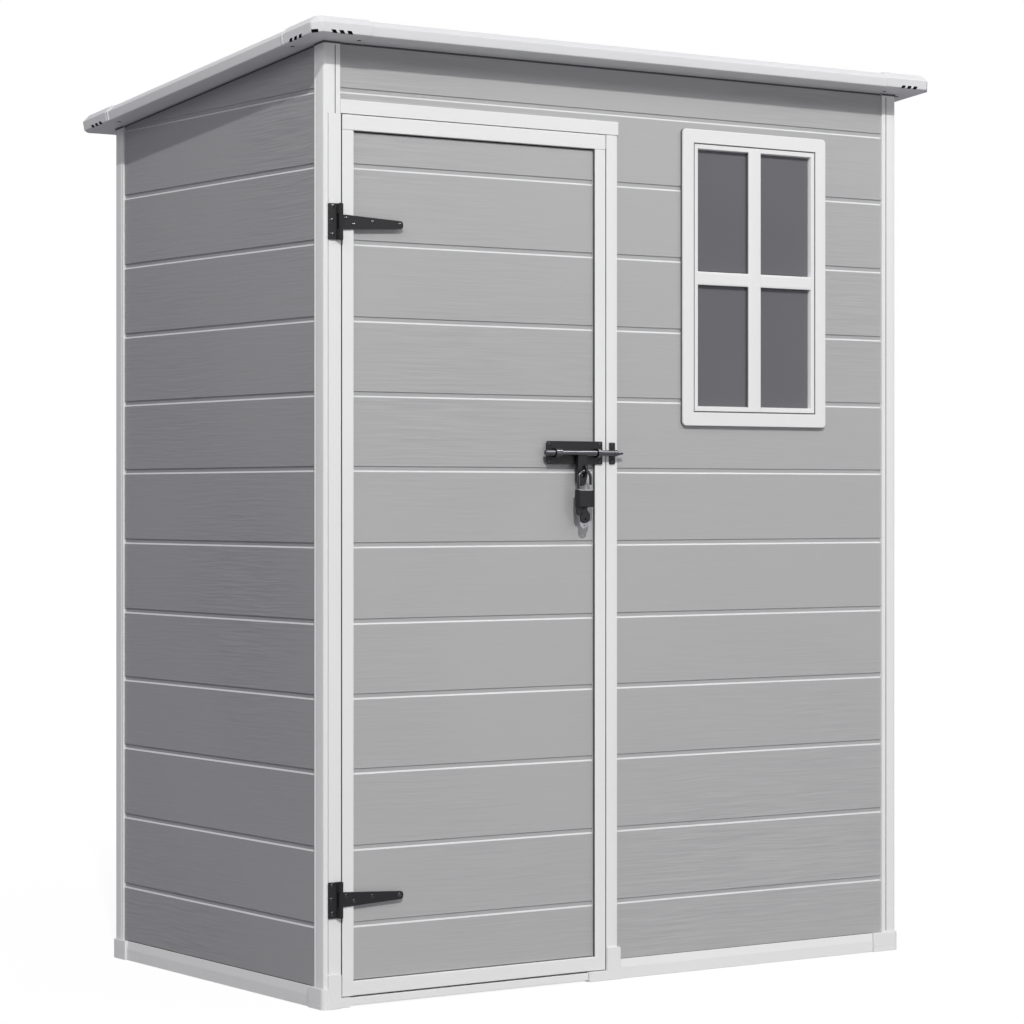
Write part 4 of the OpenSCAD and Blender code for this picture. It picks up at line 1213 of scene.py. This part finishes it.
def makeBoltPlate():
    # a plate, a packer behind it on the door's panel, two guides over the rod and four screws
    b = bolt
    low, high = plateLow, plateHigh
    packLow = (low[0] + 4, -seam, low[2] + 4)
    packHigh = (boxOf("door_panel")[1][0], high[1], high[2] - 4)
    parts = [(slab((low[0], -b["plateSteel"], low[2]), (high[0], -seam, high[2]), "y", 3.0, 0.8),
              blackSteel), (slab(packLow, packHigh, "y", 1.0, 0.2), blackSteel)]
    inner = b["rod"] + b["guideFit"]
    for start, width in ((low[0] + b["firstGuide"][0] - 4, b["firstGuide"][1]),
                         (high[0] - b["secondGuide"][0] - 4, b["secondGuide"][1])):
        parts.append((guideLoop(start, start + width, inner, b["guideWall"]), blackenedSteel))
    for x in (low[0] + 7, high[0] - 7):
        for z in (low[2] + 7, high[2] - 7):
            parts.append((screwHead((x, -b["plateSteel"], z), "y", -1, b["screw"]),
                          blackenedSteel))
    makePiece("boltPlate", parts, "door", ["bolt_plate"])


def makeKeeper():
    # a plate on the door post, a guide round the rod's neck and two screws
    b = bolt
    low, high = keeperLow, keeperHigh
    middle = (low[0] + high[0]) / 2
    parts = [(slab((low[0], -b["plateSteel"], low[2]), (high[0], -seam, high[2]), "y", 2.4, 0.8),
              blackSteel), (guideLoop(middle - 4, middle + 4, b["neck"] + 0.5, 1.8),
                            blackenedSteel)]
    for z in (low[2] + 6, high[2] - 6):
        parts.append((screwHead((middle, -b["plateSteel"], z), "y", -1, b["screw"]),
                      blackenedSteel))
    makePiece("boltKeeper", parts, "shed", ["bolt_keeper"])


def makeRod():
    # The rod has a knob at its hand end, a turned-down neck in the keeper and a rounded tip. A
    # block with an eye hangs from it, and a lug on the block's face holds the shackle's bow.
    b = bolt
    centre = (0, -b["out"], rodLevel)
    t = np.linspace(0, math.pi / 2, 7)
    r, tipRadius = b["rod"], b["tip"]
    tip = np.stack([tipRadius * np.cos(t), rodHigh[0] - tipRadius * (1 - np.sin(t))], 1)
    start, end = rodLow[0], rodHigh[0]
    knob = start + b["knobLong"]
    profile = np.vstack([[(0, start), (r - 1.4, start), (r, start + 1.2), (r, knob),
                          (r - 0.8, knob + 1), (r - 0.8, knob + 3), (r - 0.2, knob + 4),
                          (r - 0.2, end - b["neckLong"]), (b["neck"], end - b["neckLong"] + 1.5),
                          (b["neck"], end - b["tipLong"]),
                          (tipRadius, end - b["tipLong"] + 1.5)], tip])
    profile[-1, 0] = 0
    parts = [(turned(profile, centre, "x", 36), blackenedSteel)]
    middle = lockMiddle[0]
    tab = np.array(lock["tab"]) + [middle, lock["tabLow"]]
    top = [(tab[-1, 0], rodLevel - 2), (tab[0, 0], rodLevel - 2)]
    outline = rounded(np.vstack([tab, top]), [5, 4, 5, 5, 8, 8, 0.9, 0.9], steps=6)
    eye = (middle, lock["tabLow"] + 23, 4.6, 5.2)
    face = lock["tabFace"]
    parts.append((holed(dense(outline, 2.0), eye, face, -b["plateSteel"] - 0.6, "y", 0.8),
                  blackSteel))
    out = -lock["out"]
    crown = shackleHigh[2] - lock["wire"] / 2
    lug = lock["wire"] / 2 + 2.3
    outline = rounded([(out - lug, crown - lug), (face + 1, crown - lug), (face + 1, crown + 12),
                       (out - 2, crown + 12), (out - lug, crown + 4)],
                      [lug - 0.6, 0.6, 0.6, 3, 4], steps=8)
    hole = (out, crown - 0.3, lock["wire"] / 2 + 0.5, lock["wire"] / 2 + 0.5)
    parts.append((holed(dense(outline, 2.0), hole, middle + 0.2, middle + 3.4, "x", 0.5),
                  blackSteel))
    makePiece("boltRod", parts, "bolt", ["bolt_rod"])


def makePadlock():
    # The body is a black shell, a stadium in plan, whose upper edge dips by a parabola between
    # its shoulders round a steel core. A dust flap hangs beside the key.
    half = lock["thick"] / 2
    low, high = bodyLow, bodyHigh
    plan = rounded([(low[0], low[1]), (high[0], low[1]), (high[0], high[1]), (low[0], high[1])],
                   half - 0.6, steps=12)
    t = np.linspace(0, math.pi / 2, 4)
    inset = np.concatenate([1.6 * (1 - np.sin(t)), [0, 0.25, 0.8, 1.8, 1.8]])
    level = np.concatenate([low[2] + 1.6 * (1 - np.cos(t)), high[2] - [1, 0.4, 0.1, 0.1, 9]])
    rings = stood("z", drawnIn(plan, inset), level[:, None])
    side = (rings[-5:-1, :, 0] - lockMiddle[0]) / (high[0] - low[0]) * 2
    rings[-5:-1, :, 2] -= lock["dip"] * (1 - side ** 2)
    parts = [(loft(rings), blackSteel)]
    core = drawnIn(plan, [2.0])[0]
    parts.append((prism(core, high[2] - 10, high[2], "z", 0.8), nickelSteel))
    near, far = low[0] + 0.5, low[0] + lock["flapWide"]
    under, over = low[2] - lock["flapDrop"], low[2] + 6
    flap = rounded([(near, under), (far, under), (far, over), (near, over)], [8.5, 6, 1.4, 1.4],
                   steps=8)
    parts.append((prism(flap, lockMiddle[1] - 3, lockMiddle[1] + 2, "y", 1.2), blackAbs))
    barrel = (lockMiddle[0], lockMiddle[1], 0)
    parts.append((roundRod(7.5, low[2] - 1.4, low[2] + 2, barrel, "z", 0.6), blackSteel))
    makePiece("padlockBody", parts, "bolt", ["padlock_body"])


def makeShackle():
    # a straight leg, a half circle of radius gap / 2, and a shorter free leg
    gap, wire = lock["gap"] / 2, lock["wire"] / 2
    bowLevel = shackleHigh[2] - gap - wire
    angle = np.linspace(math.pi, 0, 25)
    bow = np.stack([gap * np.cos(angle), 0 * angle, gap * np.sin(angle)], 1)
    leg = np.linspace(shackleLow[2] - bowLevel, -2, 6)
    free = np.array([-3.0, -8.0, -lock["freeLeg"] + 0.6, -lock["freeLeg"]])
    path = np.vstack([np.stack([-gap + 0 * leg, 0 * leg, leg], 1), bow,
                      np.stack([gap + 0 * free, 0 * free, free], 1)])
    path += [lockMiddle[0], lockMiddle[1], bowLevel]
    makePiece("padlockShackle", [(bentRod(path, (0, 1, 0), wire), blackenedSteel)], "bolt",
              ["padlock_shackle"])


def makeKey():
    # A black plastic head, round below its neck, in front of the nickel-plated blank, whose round
    # end shows beneath it.
    radius = lock["keyWide"] / 2
    middle, depth = lockMiddle[:2]
    level = keyLow[2] + radius
    head = rounded([(middle - radius, level - radius), (middle + radius, level - radius),
                    (middle + radius, level + 6), (middle + 5.5, level + 15),
                    (middle + 5.5, keyHigh[2]), (middle - 5.5, keyHigh[2]),
                    (middle - 5.5, level + 15), (middle - radius, level + 6)],
                   [radius - 0.5, radius - 0.5, 6, 3, 1.5, 1.5, 3, 6], steps=10)
    hole = (middle, level - 4.5, 1.9, 3.2)
    half = lock["keyThick"] / 2
    parts = [(holed(dense(head, 2.0), hole, depth - half, depth + half - 2, "y", 1.4), blackAbs)]
    end = lock["blankRadius"]
    low = level - radius - lock["blankDrop"]
    blank = rounded([(middle - end, low), (middle + end, low), (middle + end, low + 2 * end - 4),
                     (middle + 4, low + 2 * end + 3), (middle + 4, keyHigh[2]),
                     (middle - 4, keyHigh[2]), (middle - 4, low + 2 * end + 3),
                     (middle - end, low + 2 * end - 4)],
                    [end - 0.5, end - 0.5, 5, 3, 0.6, 0.6, 3, 5], steps=10)
    hole = (middle, low + 6.5, 2.0, 2.0)
    parts.append((holed(dense(blank, 2.0), hole, depth + half - 1.9, depth + half, "y", 0.5),
                  nickelSteel))
    makePiece("padlockKey", parts, "bolt", ["padlock_key"])


makeBoltPlate()
makeKeeper()
makeRod()
makePadlock()
makeShackle()
makeKey()
print("bolt and padlock ready")


# Studio

view = {
    "place": (-4.0567, -5.9109, 1.0253), "turn": (90.0, 0.0, -34.5235), "lens": 111.51,
    "sensor": 36.0, "raise": -0.0121,
}
light = {
    "travel": (1.0, 1.945, -1.75), "aim": (0.0, -0.45, 1.1), "far": 60.0, "power": 93000.0,
    "cone": 14.0, "radius": 0.7, "around": 0.2, "above": 0.15, "behind": 0.45,
    "behindWay": (0.55, 0.82, 0.15), "tint": (0.95, 0.945, 1.03, 1),
}
softboxes = {
    "top": {"power": 26.5, "place": (1.2, -2.3, 3.55), "size": (3.6, 0.4), "aim": (0.4, -0.5, 1.9)},
    "front": {"power": 14.5, "place": (1.6, -4.2, 1.2), "size": (1.6, 1.6),
              "aim": (0.1, -0.45, 1.3)},
    "side": {"power": 7.5, "place": (-2.1, -1.0, 2.6), "size": (0.7, 0.7),
             "aim": (-0.76, -0.3, 1.8)},
    "card": {"power": 26.0, "place": (1.75, -2.2, 3.5), "size": (2.2, 0.65),
             "aim": (-0.2, -0.45, 1.1)},
}
ground = {
    "radius": 60.0, "sides": 96, "below": 0.0005, "fadeFrom": 0.6, "fadeTo": 4.5,
    "leastFade": 0.9, "shown": (0.95, 0.95, 0.95, 1), "thrown": (0.4, 0.4, 0.415, 1),
    "glow": 1.02,
}


def makeCamera():
    # a long lens at chest height, turned towards the shed's front and left side
    data = bpy.data.cameras.new("camera")
    data.sensor_width = view["sensor"]
    data.lens = view["lens"]
    data.shift_y = view["raise"]
    data.clip_end = 200
    camera = bpy.data.objects.new("camera", data)
    camera.location = view["place"]
    camera.rotation_euler = [math.radians(v) for v in view["turn"]]
    scene.collection.objects.link(camera)
    scene.camera = camera


def makeFloor():
    # A round pale floor that fades into the white backdrop with its distance from the shed. It
    # throws less light back up than it shows, as a floor in a dark-walled studio would.
    g = ground
    t = np.linspace(0, 2 * math.pi, g["sides"], endpoint=False)
    ring = np.stack([g["radius"] * np.cos(t), g["radius"] * np.sin(t), 0 * t - g["below"]], 1)
    mesh = bpy.data.meshes.new("studioFloor")
    mesh.from_pydata(ring.tolist(), [], [list(range(g["sides"]))])
    material = bpy.data.materials.new("paleStudioFloor")
    material.use_nodes = True
    tree = material.node_tree
    tree.nodes.clear()
    place = addNode(tree, "TexCoord").outputs["Object"]
    away = addNode(tree, "VectorMath", {"operation": "LENGTH"}, {0: place})
    fade = addNode(tree, "MapRange", {
        "interpolation_type": "SMOOTHSTEP", "From Min": g["fadeFrom"], "From Max": g["fadeTo"],
        "To Min": g["leastFade"]}, {"Value": away.outputs["Value"]})
    seen = addNode(tree, "BsdfDiffuse", {"Color": g["shown"]})
    white = addNode(tree, "Emission", {"Color": (1, 1, 1, 1), "Strength": g["glow"]})
    shown = addNode(tree, "MixShader", None, {0: fade.outputs[0], 1: seen.outputs[0],
                                              2: white.outputs[0]})
    dim = addNode(tree, "BsdfDiffuse", {"Color": g["thrown"]})
    path = addNode(tree, "LightPath")
    both = addNode(tree, "MixShader", None, {0: path.outputs["Is Camera Ray"], 1: dim.outputs[0],
                                             2: shown.outputs[0]})
    addNode(tree, "OutputMaterial", None, {"Surface": both.outputs[0]})
    mesh.materials.append(material)
    floor = bpy.data.objects.new("studioFloor", mesh)
    scene.collection.objects.link(floor)


def makeLight(name, kind, settings, place=(0, 0, 0), aim=(0, 0, 0)):
    # a lamp that shines from its place towards its aim
    data = bpy.data.lights.new(name, kind)
    for key, value in settings.items():
        setattr(data, key, value)
    lamp = bpy.data.objects.new(name, data)
    lamp.location = place
    direction = Vector(aim) - Vector(place)
    lamp.rotation_euler = direction.to_track_quat("-Z", "Y").to_euler()
    lamp.visible_camera = False
    scene.collection.objects.link(lamp)
    return lamp


def makeWorld():
    # The backdrop is white. As a light it is dim around, brighter with the square of the height
    # above, and brighter behind the shed to the right, with the square of the nearness to that
    # way, so that the far sides are lit softly.
    world = bpy.data.worlds.new("studio")
    scene.world = world
    world.use_nodes = True
    tree = world.node_tree
    tree.nodes.clear()
    way = addNode(tree, "TexCoord").outputs["Generated"]
    split = addNode(tree, "SeparateXYZ", None, {"Vector": way})
    up = addNode(tree, "Math", {"operation": "MAXIMUM", 1: 0.0}, {0: split.outputs["Z"]})
    above = addNode(tree, "Math", {"operation": "POWER", 1: 2.0}, {0: up.outputs[0]})
    near = addNode(tree, "VectorMath", {"operation": "DOT_PRODUCT", 1: light["behindWay"]}, {
        0: way})
    front = addNode(tree, "Math", {"operation": "MAXIMUM", 1: 0.0}, {0: near.outputs["Value"]})
    behind = addNode(tree, "Math", {"operation": "POWER", 1: 2.0}, {0: front.outputs[0]})
    first = addNode(tree, "Math", {"operation": "MULTIPLY_ADD", 1: light["above"],
                                   2: light["around"]}, {0: above.outputs[0]})
    total = addNode(tree, "Math", {"operation": "MULTIPLY_ADD", 1: light["behind"]}, {
        0: behind.outputs[0], 2: first.outputs[0]})
    fill = addNode(tree, "Background", {"Color": light["tint"]}, {"Strength": total.outputs[0]})
    white = addNode(tree, "Background", {"Color": (1, 1, 1, 1), "Strength": 1.0})
    path = addNode(tree, "LightPath")
    mixed = addNode(tree, "MixShader", None, {0: path.outputs["Is Camera Ray"],
                                              1: fill.outputs[0], 2: white.outputs[0]})
    addNode(tree, "OutputWorld", None, {"Surface": mixed.outputs[0]})


makeCamera()
makeFloor()
makeWorld()
away = Vector(light["travel"]).normalized() * light["far"]
makeLight("farSpot", "SPOT", {
    "energy": light["power"], "spot_size": math.radians(light["cone"]), "spot_blend": 1.0,
    "shadow_soft_size": light["radius"]}, Vector(light["aim"]) - away, light["aim"])
for name, box in softboxes.items():
    lamp = makeLight(name + "Softbox", "AREA", {
        "shape": "RECTANGLE", "energy": box["power"], "size": box["size"][0],
        "size_y": box["size"][1]}, box["place"], box["aim"])
    lamp.visible_diffuse = name != "card"  # the card is seen only as a shine on steel
scene.view_settings.view_transform = "Standard"
print("studio ready")
